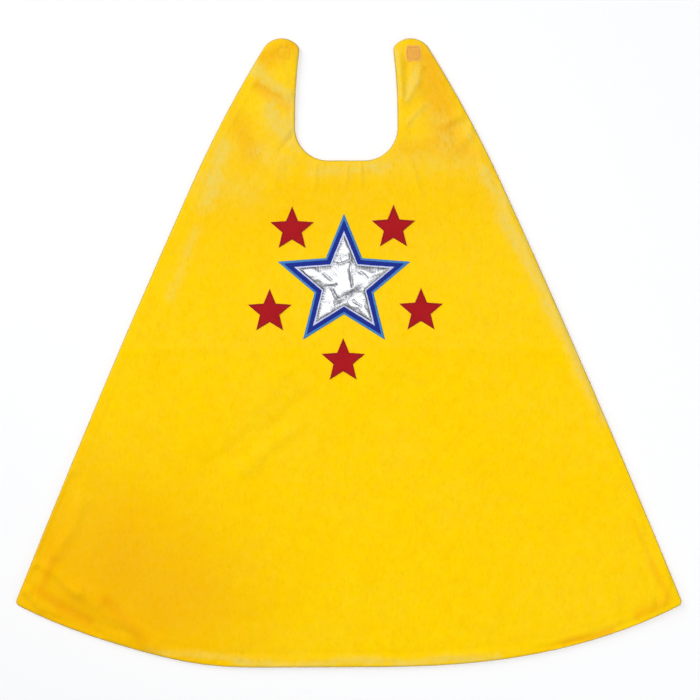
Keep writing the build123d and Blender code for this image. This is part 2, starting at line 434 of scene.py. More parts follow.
# %% Noise and creases
def lattice_noise(x, y, cell, seed):
    """Smooth noise from -1 to 1: random values on a square lattice, blended by 3t^2 - 2t^3."""
    table = np.random.default_rng(seed).uniform(-1, 1, (512, 512))
    gx, gy = x / cell + 200, y / cell + 200
    i, j = np.floor(gx).astype(int), np.floor(gy).astype(int)
    s, t = gx - i, gy - j
    s, t = s * s * (3 - 2 * s), t * t * (3 - 2 * t)
    a, b, c, e = [table[(i + di) % 512, (j + dj) % 512] for di, dj in ((0, 0), (1, 0), (0, 1), (1, 1))]
    return (a * (1 - s) + b * s) * (1 - t) + (c * (1 - s) + e * s) * t


def strokes(x, y, lines, corner, size, wobble, seed):
    """The sum over lines of amount times exp(-(distance/half-width)^2). A line is its start and
    end as shares of a box, its half-width in mm and its amount, and smooth noise bends it."""
    px = x + wobble * lattice_noise(x, y, 7.5 * wobble, seed)
    py = y + wobble * lattice_noise(x, y, 7.5 * wobble, seed + 1)
    total = np.zeros_like(x)
    for start, end, width, amount in lines:
        a, run = corner + size * np.array(start), size * np.subtract(end, start)
        t = np.clip(((px - a[0]) * run[0] + (py - a[1]) * run[1]) / (run @ run), 0, 1)
        away = np.hypot(px - a[0] - t * run[0], py - a[1] - t * run[1])
        total += amount * np.exp(-(away / (width * MM)) ** 2)
    return total


def height_at(up):
    """The y of a place given as a share of the cape's length, up from the hem."""
    return LOW[1] + SPREAD[1] * up


# Each crease: start and end as shares of width and length, half-width and height in mm.
CREASES = [
    # lower left corner
    ((0.033, 0.163), (0.097, 0.123), 7.7, 3.0), ((0.097, 0.123), (0.205, 0.04), 11.0, 3.8),
    ((0.089, 0.298), (0.044, 0.187), 6.6, -3.02), ((0.044, 0.187), (0.029, 0.139), 5.5, -3.02),
    ((0.1, 0.266), (0.059, 0.179), 8.8, 2.2), ((0.074, 0.0955), (0.127, 0.052), 5.5, -2.4),
    ((0.138, 0.098), (0.209, 0.05), 6.6, -2.32), ((0.012, 0.118), (0.036, 0.09), 4.4, 2.78),
    ((0.03, 0.105), (0.06, 0.085), 4.4, 1.8),
    # lower right corner
    ((0.93, 0.16), (0.955, 0.095), 6.0, 1.5), ((0.94, 0.118), (0.962, 0.085), 4.4, 2.2),
    ((0.981, 0.147), (0.966, 0.1), 5.5, 2.4), ((0.972, 0.135), (0.957, 0.09), 4.4, -2.0),
    ((0.794, 0.03), (0.869, 0.047), 5.5, -2.2), ((0.869, 0.047), (0.937, 0.074), 5.5, -2.2),
    ((0.88, 0.15), (0.905, 0.07), 7.7, 1.41),
    # hem
    ((0.329, 0.05), (0.333, 0.012), 3.0, 1.56), ((0.337, 0.131), (0.344, 0.036), 7.0, 0.78),
    ((0.56, 0.06), (0.566, 0.012), 3.0, 1.25), ((0.7, 0.07), (0.712, 0.015), 4.0, 1.25),
    # below the emblem
    ((0.442, 0.425), (0.299, 0.322), 11.0, -1.86), ((0.425, 0.396), (0.34, 0.312), 9.0, 1.69),
    ((0.56, 0.458), (0.614, 0.447), 9.0, -2.03), ((0.622, 0.418), (0.645, 0.402), 8.0, -1.35),
    ((0.6, 0.395), (0.69, 0.33), 14.0, 1.35), ((0.41, 0.47), (0.35, 0.41), 9.0, 1.18),
    # above the emblem and at the neck
    ((0.445, 0.798), (0.446, 0.762), 3.0, 1.29), ((0.494, 0.798), (0.495, 0.77), 3.0, 1.14),
    ((0.517, 0.798), (0.518, 0.764), 3.0, 1.29), ((0.592, 0.8), (0.606, 0.752), 4.0, 1.29),
    ((0.4, 0.82), (0.415, 0.848), 4.0, -1.72), ((0.4, 0.8), (0.388, 0.76), 6.0, 1.0),
    # left strap
    ((0.361, 0.949), (0.415, 0.906), 9, 1.85), ((0.364, 0.922), (0.412, 0.888), 7, -1.56),
    ((0.379, 0.987), (0.415, 0.968), 6, 1.0), ((0.37, 0.888), (0.406, 0.85), 9, 1.37),
    ((0.346, 0.869), (0.37, 0.822), 9, -1.43), ((0.4, 0.962), (0.407, 0.936), 3, 0.91),
    # right strap and its base
    ((0.574, 0.971), (0.58, 0.904), 5, 2.21), ((0.587, 0.962), (0.586, 0.911), 3.5, -1.56),
    ((0.605, 0.955), (0.601, 0.93), 4, 1.56), ((0.601, 0.93), (0.59, 0.903), 4, 1.69),
    ((0.619, 0.895), (0.59, 0.868), 4, 1.17), ((0.655, 0.855), (0.682, 0.866), 5, -2.21),
    ((0.649, 0.866), (0.679, 0.882), 6, 1.56), ((0.67, 0.833), (0.688, 0.852), 6, 2.21),
    ((0.661, 0.844), (0.676, 0.819), 5, -1.82), ((0.631, 0.838), (0.655, 0.822), 8, 1.3),
    ((0.622, 0.908), (0.646, 0.882), 9, -1.17), ((0.691, 0.814), (0.706, 0.79), 6, 1.17),
    # right side, and the line where the cape was folded in its packet
    ((0.734, 0.735), (0.802, 0.583), 4.0, 1.43), ((0.802, 0.583), (0.869, 0.409), 4.0, 1.56),
    ((0.869, 0.409), (0.94, 0.218), 4.0, 1.3), ((0.15, 0.502), (0.42, 0.506), 5.0, 0.65),
    ((0.62, 0.506), (0.86, 0.5), 5.0, 0.65),
]
HEM_RIDGE, HEM_RIDGE_AT = 0.8 * MM, 11 * MM      # over the edge of the turned-in allowance
HEM_GROOVE, HEM_GROOVE_AT = 0.6 * MM, 15.5 * MM  # just past it
HEM_GATHERS_AT = 6 * MM


def wrinkles(x, y, d, s):
    """The height of the cloth above its flat face: creases, the ridge and gathers of the hem,
    and soft noise of three sizes. d is the distance from the edge, s the place along it."""
    soft = (0.7 * lattice_noise(x, y, 70 * MM, 1) + 0.4 * lattice_noise(x, y, 27 * MM, 2)
            + 0.14 * lattice_noise(x * 1.6, y * 0.8, 9 * MM, 3)) * MM
    creases = MM * strokes(x, y, CREASES, LOW[:2], SPREAD[:2], 4 * MM, 11)
    at_hem = np.clip((height_at(0.2) - y) / (SPREAD[1] * 0.06), 0, 1)
    at_edge = 0.35 + 0.65 * at_hem
    zero = np.zeros_like(s)
    uneven = 0.6 + 0.6 * lattice_noise(s, zero, 40 * MM, 4)
    ridge = HEM_RIDGE * np.exp(-((d - HEM_RIDGE_AT) / (3 * MM)) ** 2) * uneven
    groove = -HEM_GROOVE * np.exp(-((d - HEM_GROOVE_AT) / (3 * MM)) ** 2)
    gathers = (0.6 * lattice_noise(s, zero, 7 * MM, 5) + 0.4 * lattice_noise(s, zero, 3.4 * MM, 6)) * MM
    gathers = gathers * np.exp(-((d - HEM_GATHERS_AT) / (7 * MM)) ** 2)
    return soft + creases + at_edge * (ridge + groove + gathers)


# %% [markdown]
# ## Face and lining
# At the seam the face turns down and the lining turns up, and both meet in the stitches. The
# profile across the edge is a quarter of an ellipse. The square under the left strap's end is
# where stitches pull both layers together round the hook patch, so the face sinks at them.

# %% Heights of both layers
ROLL = 3.2 * MM
LINING_ROLL = 2.4 * MM
PATCH_HALF = half_width("loop_patch")
HOOK_CENTRE = middle_of("hook_patch")
LOOP_CENTRE = middle_of("loop_patch")
HOOK_TOP = high("hook_patch")[2]
STITCH_HALF = half_width("loop_patch_stitching") - 0.3 * MM
EMBLEM = middle_of("embroidery_backing")
EMBLEM_RADIUS = half_width("embroidery_backing")


def dome(d, reach, height=1.0):
    """The height of a rounded edge: height times sqrt(1 - (1 - d/reach)^2), level beyond reach."""
    return height * np.sqrt(1 - (1 - np.clip(d / reach, 0, 1)) ** 2)


def square_distance(x, y, centre):
    """Distance from a centre, measured as for a square with slightly rounded corners."""
    return ((np.abs(x - centre[0]) ** 6 + np.abs(y - centre[1]) ** 6) ** (1 / 6))


def calm(x, y):
    """1 over plain cloth and 0.3 over the emblem, which its backing and stitches hold flat."""
    reach = np.hypot(x - EMBLEM[0], y - EMBLEM[1])
    return 1 - 0.7 * np.clip((EMBLEM_RADIUS - reach) / (30 * MM), 0, 1)


def patch_dents(x, y):
    """How much the stitches of the two patches pull the face down, and puff what is between."""
    total = np.zeros_like(x)
    for centre, pull in ((HOOK_CENTRE, 0.45), (LOOP_CENTRE, 0.4)):
        reach = square_distance(x, y, centre)
        pucker = 1 + 0.9 * lattice_noise(x, y, 3.5 * MM, 42)
        total -= pull * MM * pucker * np.exp(-((reach - STITCH_HALF) / (1.9 * MM)) ** 2)
        total += 0.4 * pull * MM * np.exp(-(reach / (6 * MM)) ** 4)
    return total


def face_height(x, y, d, s):
    """Seam height at the edge, rising by sqrt(1 - (1 - d/roll)^2) to the wrinkled face."""
    rise = dome(d, ROLL)
    body = (wrinkles(x, y, d, s) * calm(x, y) + patch_dents(x, y)) * np.clip(d / (5 * MM), 0, 1)
    return Z_SEAM + (Z_FACE - Z_SEAM + np.maximum(body, -1.6 * MM)) * rise


def lining_height(x, y, d, s):
    """The same profile turned over: the lining lies on the floor and rises to the seam. It is
    lifted over the hook patch, which is sewn under it."""
    rise = dome(d, LINING_ROLL)
    lift = np.clip((PATCH_HALF + 1.6 * MM - square_distance(x, y, HOOK_CENTRE)) / (1.4 * MM), 0, 1)
    lift = lift * lift * (3 - 2 * lift) * (HOOK_TOP + 0.05 * MM)
    soft = 0.3 * MM * np.clip(lattice_noise(x, y, 45 * MM, 21) + 0.3 * lattice_noise(x, y, 14 * MM, 22), 0, 1)
    return Z_SEAM * (1 - rise) + np.maximum(lift, soft * rise)


def far_face(x, y):
    """The height of the face at places well inside it, where the edge has no part."""
    far = np.full_like(x, 60 * MM)
    return face_height(x, y, far, far * 0)


# %% Painted sheen and shade on the velour
# Each stroke of painted sheen, where the pile is brushed up and looks paler: start and end as
# shares of the cape, half-width in mm, strength.
PAINTED_SHEEN_STROKES = [
    ((0.361, 0.95), (0.412, 0.908), 8, 0.98), ((0.382, 0.888), (0.407, 0.85), 11, 0.91),
    ((0.416, 0.895), (0.418, 0.825), 6, 0.52), ((0.319, 0.825), (0.286, 0.736), 10, 0.65),
    ((0.37, 0.822), (0.397, 0.796), 13, 0.39), ((0.571, 0.974), (0.574, 0.914), 6, 0.98),
    ((0.604, 0.954), (0.601, 0.933), 5.5, 0.65), ((0.601, 0.933), (0.59, 0.906), 5.5, 0.72),
    ((0.619, 0.893), (0.592, 0.869), 5, 0.39), ((0.637, 0.869), (0.646, 0.838), 13, 0.33),
    ((0.673, 0.857), (0.685, 0.844), 7, 0.45), ((0.442, 0.796), (0.554, 0.793), 8, 0.65),
    ((0.703, 0.787), (0.757, 0.676), 8, 0.91), ((0.757, 0.676), (0.799, 0.584), 8, 1.0),
    ((0.799, 0.584), (0.847, 0.476), 8, 1.0), ((0.847, 0.476), (0.878, 0.393), 6, 0.7),
    ((0.202, 0.028), (0.337, 0.009), 3.5, 0.55), ((0.337, 0.007), (0.577, 0.005), 5, 0.7),
    ((0.577, 0.006), (0.727, 0.019), 5, 0.7), ((0.271, 0.692), (0.229, 0.59), 6, 0.35),
    ((0.547, 0.806), (0.682, 0.798), 15, 0.23), ((0.286, 0.768), (0.352, 0.758), 17, 0.33),
]
# The same for painted shade, drawn darker and a deeper orange.
PAINTED_SHADE_STROKES = [
    ((0.373, 0.965), (0.409, 0.99), 14, 0.72), ((0.364, 0.92), (0.41, 0.887), 8, 0.72),
    ((0.338, 0.857), (0.352, 0.825), 16, 0.54), ((0.613, 0.968), (0.649, 0.854), 20, 0.78),
    ((0.584, 0.822), (0.682, 0.819), 14, 0.42), ((0.112, 0.108), (0.067, 0.123), 150, 0.54),
    ((0.292, 0.108), (0.157, 0.171), 90, 0.3), ((0.322, 0.742), (0.682, 0.758), 60, 0.22),
    ((0.975, 0.106), (0.932, 0.081), 5, 0.6), ((0.895, 0.06), (0.826, 0.033), 4, 0.7),
    ((0.957, 0.162), (0.978, 0.114), 4, 0.5), ((0.93, 0.235), (0.957, 0.168), 3, 0.4),
    ((0.817, 0.033), (0.757, 0.017), 3, 0.4), ((0.055, 0.171), (0.031, 0.12), 7, 0.45),
    ((0.037, 0.111), (0.112, 0.073), 6, 0.4), ((0.133, 0.108), (0.187, 0.044), 8, 0.35),
]
# Painted sheen also steps up above each line where the cape was folded in its packet: the line's height as a
# share of the cape, and the strength.
PACKET_FOLDS = ((0.800, 0.08), (0.504, 0.04))


def painted_nap_sheen(x, y):
    """How much painted sheen the pile shows, 0 to 1: strokes, and a step at each packet fold, broken up by
    noise.
    """
    grain = lattice_noise(x, y, 8 * MM, 31) * 0.5 + lattice_noise(x, y, 3.4 * MM, 32) * 0.5
    drift = lattice_noise(x, y, 60 * MM, 33)
    total = 0.03 + 0.03 * drift + strokes(x, y, PAINTED_SHEEN_STROKES, LOW[:2], SPREAD[:2], 5 * MM, 34)
    for up, strength in PACKET_FOLDS:
        above = np.clip((y - height_at(up) + 3 * MM * drift) / (4 * MM), 0, 1)
        total = total + strength * above
    return np.clip(total * (1 + 0.45 * grain) + 0.04 * grain, 0, 1)


def painted_amber_shade(x, y):
    """How much painted shade there is, 0 to 1: places drawn darker and a deeper orange."""
    drift = lattice_noise(x, y, 45 * MM, 36)
    return np.clip(strokes(x, y, PAINTED_SHADE_STROKES, LOW[:2], SPREAD[:2], 5 * MM, 37) * (1 + 0.15 * drift), 0, 1)


# %% [markdown]
# ## Velour
# Costume velour is knitted polyester with a short brushed pile. It has no shine head-on, a soft
# glow where it turns away from the eye, and it looks paler wherever the pile has been brushed the
# other way. Sheen on a rough base gives the glow. The paler look of brushed pile is painted sheen
# on the mesh, broken by fine noise into flecks. Painted shade is laid on as well: deeper orange
# patches, darker flecks where the pile is low, and an olive line where the cloth rolls under at
# the edge. A texture's scale is written as so many patches in each millimetre, or from the size
# of one thread.

# %% Velour and lining
PILE_FLECK = 1.5 * MM      # tufts are about 0.3 mm, drawn coarser so that they show
PILE_CLUMP = 7 * MM
LINING_THREAD = 0.8 * MM   # real threads are 0.2 mm


def velour():
    """Knitted polyester velour, brushed. Its colour attribute holds painted light: the painted sheen
    of brushed pile, painted shade in a deeper orange, and painted shade along the rolled edge."""
    material, tree, shader, coordinates = new_material("brushed_polyester_velour")
    # The attribute holds painted sheen and painted shade.
    dye = add_node(tree, "ShaderNodeAttribute", {"attribute_name": "dye"})
    parts = add_node(tree, "ShaderNodeSeparateColor", links={0: dye.outputs["Color"]}).outputs
    wales = add_node(tree, "ShaderNodeMapping", {"Scale": (1.0, 0.45, 1.0)}, {"Vector": coordinates})
    tufts = {"Scale": 0.5 / PILE_FLECK, "Detail": 3.0, "Roughness": 0.6}
    fleck = add_node(tree, "ShaderNodeTexNoise", tufts, {"Vector": wales.outputs[0]}).outputs["Fac"]
    clump = add_node(tree, "ShaderNodeTexNoise", {"Scale": 0.5 / PILE_CLUMP, "Detail": 3.0},
                     {"Vector": coordinates}).outputs["Fac"]
    ground = add_node(tree, "ShaderNodeMix", {"data_type": "RGBA", 6: colour("#FDC800"),
                                              7: colour("#FFD800")}, {0: clump}).outputs[2]
    # Painted shade: a darker, deeper orange where the shade strokes lie.
    with_painted_shade = add_node(tree, "ShaderNodeMix", {"data_type": "RGBA", 7: colour("#F4AE06")},
                       {0: parts[1], 6: ground}).outputs[2]
    # Painted sheen: a pale colour where the pile is brushed, broken into flecks by the fine noise.
    breaks = add_node(tree, "ShaderNodeMapRange", {1: 0.32, 2: 0.62, 3: 0.35, 4: 1.35}, {0: fleck}).outputs[0]
    sheen_share = add_node(tree, "ShaderNodeMath", {"operation": "MULTIPLY"}, {0: parts[0], 1: breaks}).outputs[0]
    brushed = add_node(tree, "ShaderNodeMix", {"data_type": "RGBA", 7: colour("#F0CE52")},
                       {0: sheen_share, 6: with_painted_shade}).outputs[2]
    # Painted shade: darker pile where the fine flecks are low, as they are in the pile's bump.
    between = add_node(tree, "ShaderNodeMapRange", {1: 0.25, 2: 0.5, 3: 0.16, 4: 0.0}, {0: fleck}).outputs[0]
    shaded = add_node(tree, "ShaderNodeMix", {"data_type": "RGBA", 7: colour("#D99A00")},
                      {0: between, 6: brushed}).outputs[2]
    # Painted shade: an olive line along the edge, where the cloth rolls under to the seam.
    with_edge_shade = add_node(tree, "ShaderNodeMix", {"data_type": "RGBA", 7: colour("#C6B050")},
                      {0: parts[2], 6: shaded}).outputs[2]
    tree.links.new(with_edge_shade, shader.inputs["Base Color"])
    set_shader(shader, Roughness=0.9, Specular_IOR_Level=0.03, Sheen_Weight=0.06, Sheen_Roughness=0.5,
               Sheen_Tint=colour("#FFD940"))
    pile = add_node(tree, "ShaderNodeMath", {"operation": "MULTIPLY_ADD", 1: 0.4}, {0: clump, 2: fleck})
    bump = add_node(tree, "ShaderNodeBump", {"Distance": 0.3 * MM, "Strength": 0.5},
                    {"Height": pile.outputs[0]})
    tree.links.new(bump.outputs[0], shader.inputs["Normal"])
    return material


def lining_cloth():
    """Woven polyester lining, calendered on one side: fine threads with a soft gloss."""
    material, tree, shader, coordinates = new_material("woven_polyester_lining")
    warp, weft = [add_node(tree, "ShaderNodeTexWave", {"bands_direction": direction, "Distortion": 0.6,
                                                       "Scale": 0.31 / LINING_THREAD},
                           {"Vector": coordinates}).outputs["Fac"] for direction in "XY"]
    weave = add_node(tree, "ShaderNodeMath", {"operation": "MULTIPLY"}, {0: warp, 1: weft}).outputs[0]
    cloud = add_node(tree, "ShaderNodeTexNoise", {"Scale": 0.036 / MM, "Detail": 3.0},
                     {"Vector": coordinates})
    ground = add_node(tree, "ShaderNodeMix", {"data_type": "RGBA", 6: colour("#E6A606"),
                                              7: colour("#FBC816")}, {0: cloud.outputs["Fac"]}).outputs[2]
    # Painted shade: a darker brown where the weave pattern is low, between the threads.
    gaps = add_node(tree, "ShaderNodeMapRange", {3: 0.35, 4: 0.0}, {0: weave}).outputs[0]
    cloth = add_node(tree, "ShaderNodeMix", {"data_type": "RGBA", 7: colour("#B97E00")},
                     {0: gaps, 6: ground}).outputs[2]
    tree.links.new(cloth, shader.inputs["Base Color"])
    set_shader(shader, Roughness=0.48, Specular_IOR_Level=0.4, Sheen_Weight=0.15)
    bump = add_node(tree, "ShaderNodeBump", {"Distance": 0.12 * MM, "Strength": 0.6}, {"Height": weave})
    tree.links.new(bump.outputs[0], shader.inputs["Normal"])
    return material


VELOUR = velour()
LINING = lining_cloth()

# %% [markdown]
# ## The three parts of each layer
# The cape and each strap are parts of their own, so each layer is three sheets that meet at the
# fold lines. A strap's sheet shares its first row of points with the cape's sheet.

# %% Face and lining sheets
EDGE_SHADE_WIDTH = 1.15 * MM


def painted_edge_shade(x, y, d, s):
    """Painted shade along the edge, where the cloth rolls under to the seam: 1 at the edge and 0 further in.
    """
    uneven = EDGE_SHADE_WIDTH * (1 + 0.3 * lattice_noise(s, s * 0, 9 * MM, 41))
    return np.clip((uneven - d) / (0.5 * MM), 0, 1) * 0.75


def make_sheets(part, grid):
    """The face sheet and the lining sheet over one grid, with painted sheen and painted shade on the face."""
    flat = grid.reshape(-1, 2)
    x, y = flat.T
    d, s = edge_distance(flat, OUTLINE)
    d[d < 0.02 * MM] = 0
    quads = quads_of(*grid.shape[:2])
    names = ("face_panel", "lining_panel") if part == "cape" else (f"{part}_face", f"{part}_lining")
    face = make_piece(names[0] + "_velour", np.column_stack([flat, face_height(x, y, d, s)]), [quads], VELOUR)
    # The face's painted sheen and painted shade, stored for the velour's shader.
    paint(face, "dye", np.column_stack([painted_nap_sheen(x, y), painted_amber_shade(x, y), painted_edge_shade(x, y, d, s)]))
    lining = make_piece(names[1] + "_cloth", np.column_stack([flat, lining_height(x, y, d, s)]), [quads],
                        LINING, flip=True)
    stand_for(face, names[0])
    stand_for(lining, names[1])
    return face, lining


def follow(piece, part):
    """A piece of the cape rides on it; a strap's piece has its transform baked into its points."""
    if part == "cape":
        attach(piece, "cape")
    else:
        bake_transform(piece)


def stand_for(piece, node, part=None):
    """The piece replaces its node, which is hidden, and rides on its part if told."""
    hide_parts(node)
    if part:
        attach(piece, part)


GRIDS = {"cape": body_grid, "left_strap": left_grid, "right_strap": right_grid}
SHEETS = {part: make_sheets(part, grid) for part, grid in GRIDS.items()}

# %% [markdown]
# ## What is inside the edge
# Turned-in cloth edges lie between the layers, a finger's width all round. They are a closed band
# whose profile is carried along the outline. The seam's thread is a run of lockstitches: one tube
# along the outline whose radius swells at each stitch and narrows where it dives into the cloth.

# %% Seam allowance and thread
STITCH_LENGTH = 3 * MM
SAMPLES_PER_STITCH = 6
THREAD_SIDES = 6


def inward(line, inset):
    """Points of an open or closed run moved in, to the left of its direction."""
    tangent = unit(np.gradient(line, axis=0))
    return line + inset * np.column_stack([-tangent[:, 1], tangent[:, 0]])


def thread_tube(path, radius, stitch, closed=False):
    """A tube along a path of 3-D points, of radius r (0.45 + 0.55 |sin(pi s / stitch)|)."""
    if closed:
        tangent = unit(np.roll(path, -1, axis=0) - np.roll(path, 1, axis=0))
    else:
        tangent = unit(np.gradient(path, axis=0))
    side = unit(np.cross(tangent, [0, 0, 1.0]))
    above = np.cross(side, tangent)
    swell = radius * (0.45 + 0.55 * np.abs(np.sin(np.pi * run_along(path) / stitch)) ** 0.6)
    turn = full_turn(THREAD_SIDES)
    ring = (np.cos(turn)[None, :, None] * side[:, None] + np.sin(turn)[None, :, None] * above[:, None])
    points = path[:, None] + ring * swell[:, None, None]
    faces = [quads_of(len(path), THREAD_SIDES, wrap_rows=closed, wrap_columns=True)]
    if not closed:
        last = (len(path) - 1) * THREAD_SIDES
        faces += [[list(range(THREAD_SIDES))[::-1]], [list(range(last, last + THREAD_SIDES))]]
    return points.reshape(-1, 3), faces


def band(outer, inner, z_low, z_high):
    """A flat closed band between two runs of points: its four corners carried along the run."""
    low_z, high_z = np.full(len(outer), z_low), np.full(len(outer), z_high)
    corners = [np.column_stack([outer, low_z]), np.column_stack([outer, high_z]),
               np.column_stack([(outer + inner) / 2, high_z]), np.column_stack([inner, high_z]),
               np.column_stack([inner, low_z]), np.column_stack([(outer + inner) / 2, low_z])]
    points = np.stack(corners, axis=1)
    last = (len(outer) - 1) * len(corners)
    faces = [quads_of(len(outer), len(corners), wrap_columns=True),
             [list(range(len(corners)))[::-1]], [list(range(last, last + len(corners)))]]
    return points.reshape(-1, 3), faces


def joined(shapes):
    """Several (points, faces) shapes as one, with the point numbers moved on."""
    points, faces, first = [], [], 0
    for shape_points, shape_faces in shapes:
        flat = np.asarray(shape_points).reshape(-1, 3)
        points.append(flat)
        faces += [np.asarray(f) + first for f in shape_faces]
        first += len(flat)
    return np.concatenate(points), faces


def on_path(path, step):
    """The path again, with points this far apart."""
    return along(path, np.linspace(0, 1, max(3, int(length_of(path) / step) + 1)))


def seam_path(run):
    """The middle of the seam's thread along a run of the outline, just inside the edge."""
    fine = on_path(run, STITCH_LENGTH / SAMPLES_PER_STITCH)
    return np.column_stack([inward(fine, 0.05 * MM), np.full(len(fine), Z_SEAM)])


def spun_thread(name, hex_value, darker):
    """Spun polyester sewing thread: matt, with a twist too fine to see."""
    material, tree, shader, coordinates = new_material(name)
    twist = add_node(tree, "ShaderNodeTexNoise", {"Scale": 1 / MM, "Detail": 2.0}, {"Vector": coordinates})
    share = add_node(tree, "ShaderNodeMapRange", {1: 0.3, 2: 0.7}, {0: twist.outputs["Fac"]}).outputs[0]
    tone = add_node(tree, "ShaderNodeMix", {"data_type": "RGBA", 6: colour(darker), 7: colour(hex_value)},
                    {0: share}).outputs[2]
    tree.links.new(tone, shader.inputs["Base Color"])
    set_shader(shader, Roughness=0.6, Sheen_Weight=0.2, Specular_IOR_Level=0.3)
    bump = add_node(tree, "ShaderNodeBump", {"Distance": 0.08 * MM}, {"Height": twist.outputs["Fac"]})
    tree.links.new(bump.outputs[0], shader.inputs["Normal"])
    return material


SEAM_THREAD = spun_thread("spun_thread_olive", "#C6AC3C", "#9C842A")
THREAD_RADIUS = 0.34 * MM
OPEN_EDGE = np.concatenate([left_side, hem[1:], right_side[1:]])
EDGE_RUNS = {"cape": [OPEN_EDGE, neck], "left_strap": [left_edge], "right_strap": [right_edge]}
INSIDE = {}
for part, runs in EDGE_RUNS.items():
    node = "seam_thread" if part == "cape" else part + "_thread"
    tubes = [thread_tube(seam_path(run), THREAD_RADIUS, STITCH_LENGTH) for run in runs]
    stitches = make_piece(node + "_stitches", *joined(tubes), SEAM_THREAD)
    stand_for(stitches, node)
    follow(stitches, part)
    INSIDE[part] = [stitches]

ALLOWANCE_WIDTH = 12 * MM
for part, run in (("left_strap", left_edge), ("right_strap", right_edge)):
    fine = on_path(run, 1 * MM)
    raw_edge = inward(fine, ALLOWANCE_WIDTH) + 0.4 * MM * np.random.default_rng(7).uniform(-1, 1, fine.shape)
    strip = band(inward(fine, 1.3 * MM), raw_edge, Z_ALLOWANCE, high(part + "_allowance")[2])
    allowance = make_piece(part + "_allowance_strip", *strip, VELOUR)
    stand_for(allowance, part + "_allowance")
    follow(allowance, part)
    INSIDE[part].append(allowance)
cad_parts["seam_allowance"].data.materials[0] = VELOUR

# %% [markdown]
# ## Stars of cloth
# A star with its point up has ten corners, tips and notches in turn. To mesh it evenly, it is cut
# into five kites, each from the centre over two notches to a tip, and each kite is a bilinear
# patch. A cloth star is a thin closed shell made of such patches above and below, meeting at the rim.

# %% Star shapes
TENTH = np.pi / 5


def star_of(node, notch_share=None):
    """A star's centre, tip radius and notch radius, from its node: the tips are the highest point
    and the widest two, and the notches are the corners nearest to the centre."""
    (x0, _, _), (x1, top, _) = low(node), high(node)
    tip = (x1 - x0) / (2 * np.sin(2 * TENTH))
    centre = np.array([(x0 + x1) / 2, top - tip])
    if notch_share is None:
        corners = np.array([v.co[:2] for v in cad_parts[node].data.vertices])
        notch_share = np.linalg.norm(corners - centre, axis=1).min() / tip
    return centre, tip, tip * notch_share


def edge_apothem(tip, notch):
    """How far a star's straight edges lie from its centre."""
    edge = np.sqrt(tip ** 2 + notch ** 2 - 2 * tip * notch * np.cos(TENTH))
    return tip * notch * np.sin(TENTH) / edge


def star_corners(centre, tip, notch, inset=0.0):
    """The ten corners, anticlockwise from the top, with the edges moved in by inset."""
    turn = np.pi / 2 + np.arange(10) * TENTH
    reach = np.where(np.arange(10) % 2 == 0, tip, notch) * (1 - inset / edge_apothem(tip, notch))
    return centre + reach[:, None] * np.column_stack([np.cos(turn), np.sin(turn)])


def ring_path(corners, count, soften=0):
    """Points round a star, the same number on each edge, softened by averaging neighbours."""
    share = np.arange(count)[:, None] / count
    ahead = np.roll(corners, -1, axis=0)
    path = (corners[:, None] * (1 - share) + ahead[:, None] * share).reshape(-1, 2)
    for _ in range(soften):
        path = (np.roll(path, 1, axis=0) + 2 * path + np.roll(path, -1, axis=0)) / 4
    return path


def kites(centre, corners, cells):
    """Five bilinear grids: (1-a)(1-b) centre + a(1-b) notch + ab tip + (1-a)b next notch."""
    share = np.linspace(0, 1, cells + 1)
    a, b = share[None, :, None], share[:, None, None]
    grids = [(1 - a) * (1 - b) * centre + a * (1 - b) * corners[i - 1] + a * b * corners[i]
             + (1 - a) * b * corners[(i + 1) % 10] for i in range(0, 10, 2)]
    quads = quads_of(cells + 1, cells + 1)
    faces = np.concatenate([quads + k * (cells + 1) ** 2 for k in range(5)])
    return np.concatenate([g.reshape(-1, 2) for g in grids]), faces


def welded(points, faces):
    """Joins points that lie in the same place, to a tenth of a micron."""
    places = np.round(points / (0.0001 * MM))
    _, first, number = np.unique(places, axis=0, return_index=True, return_inverse=True)
    number = number.ravel()
    return points[first], number[np.asarray(faces)]


def star_shell(name, centre, corners, cells, top, bottom, material):
    """A closed shell over a star: top(x, y, d) above and bottom(x, y, d) below, where d is the
    distance from the rim. Both give the same height at the rim."""
    flat, faces = kites(centre, corners, cells)
    d, _ = edge_distance(flat, ring_path(corners, 40))
    d[d < 0.002 * MM] = 0
    x, y = flat.T
    upper, lower = np.column_stack([flat, top(x, y, d)]), np.column_stack([flat, bottom(x, y, d)])
    points = np.concatenate([upper, lower])
    all_faces = np.concatenate([faces, faces[:, ::-1] + len(upper)])
    points, all_faces = welded(points, all_faces)
    return make_piece(name, points, [all_faces], material)


# %% [markdown]
# ## Satin stitch
# The cut edge of each star is covered by satin stitch: threads laid side by side across the edge,
# so close that they make one glossy cord. The band's cross-section is a low arch, and its surface
# rises and falls once for each thread. At a tip the threads fan out, because both sides of the
# band have the same number of them.

# %% Satin stitch bands
SATIN_PITCH = 0.8 * MM     # real threads lie 0.4 mm apart
SATIN_SAMPLES = 4
RAGGED = 0.16 * MM         # how unevenly the threads end
TIP_REACH = 1.3 * MM       # the last threads stand out past the tip
ARCH = np.array([0.0, 0.05, 0.18, 0.38, 0.62, 0.82, 0.95, 1.0])


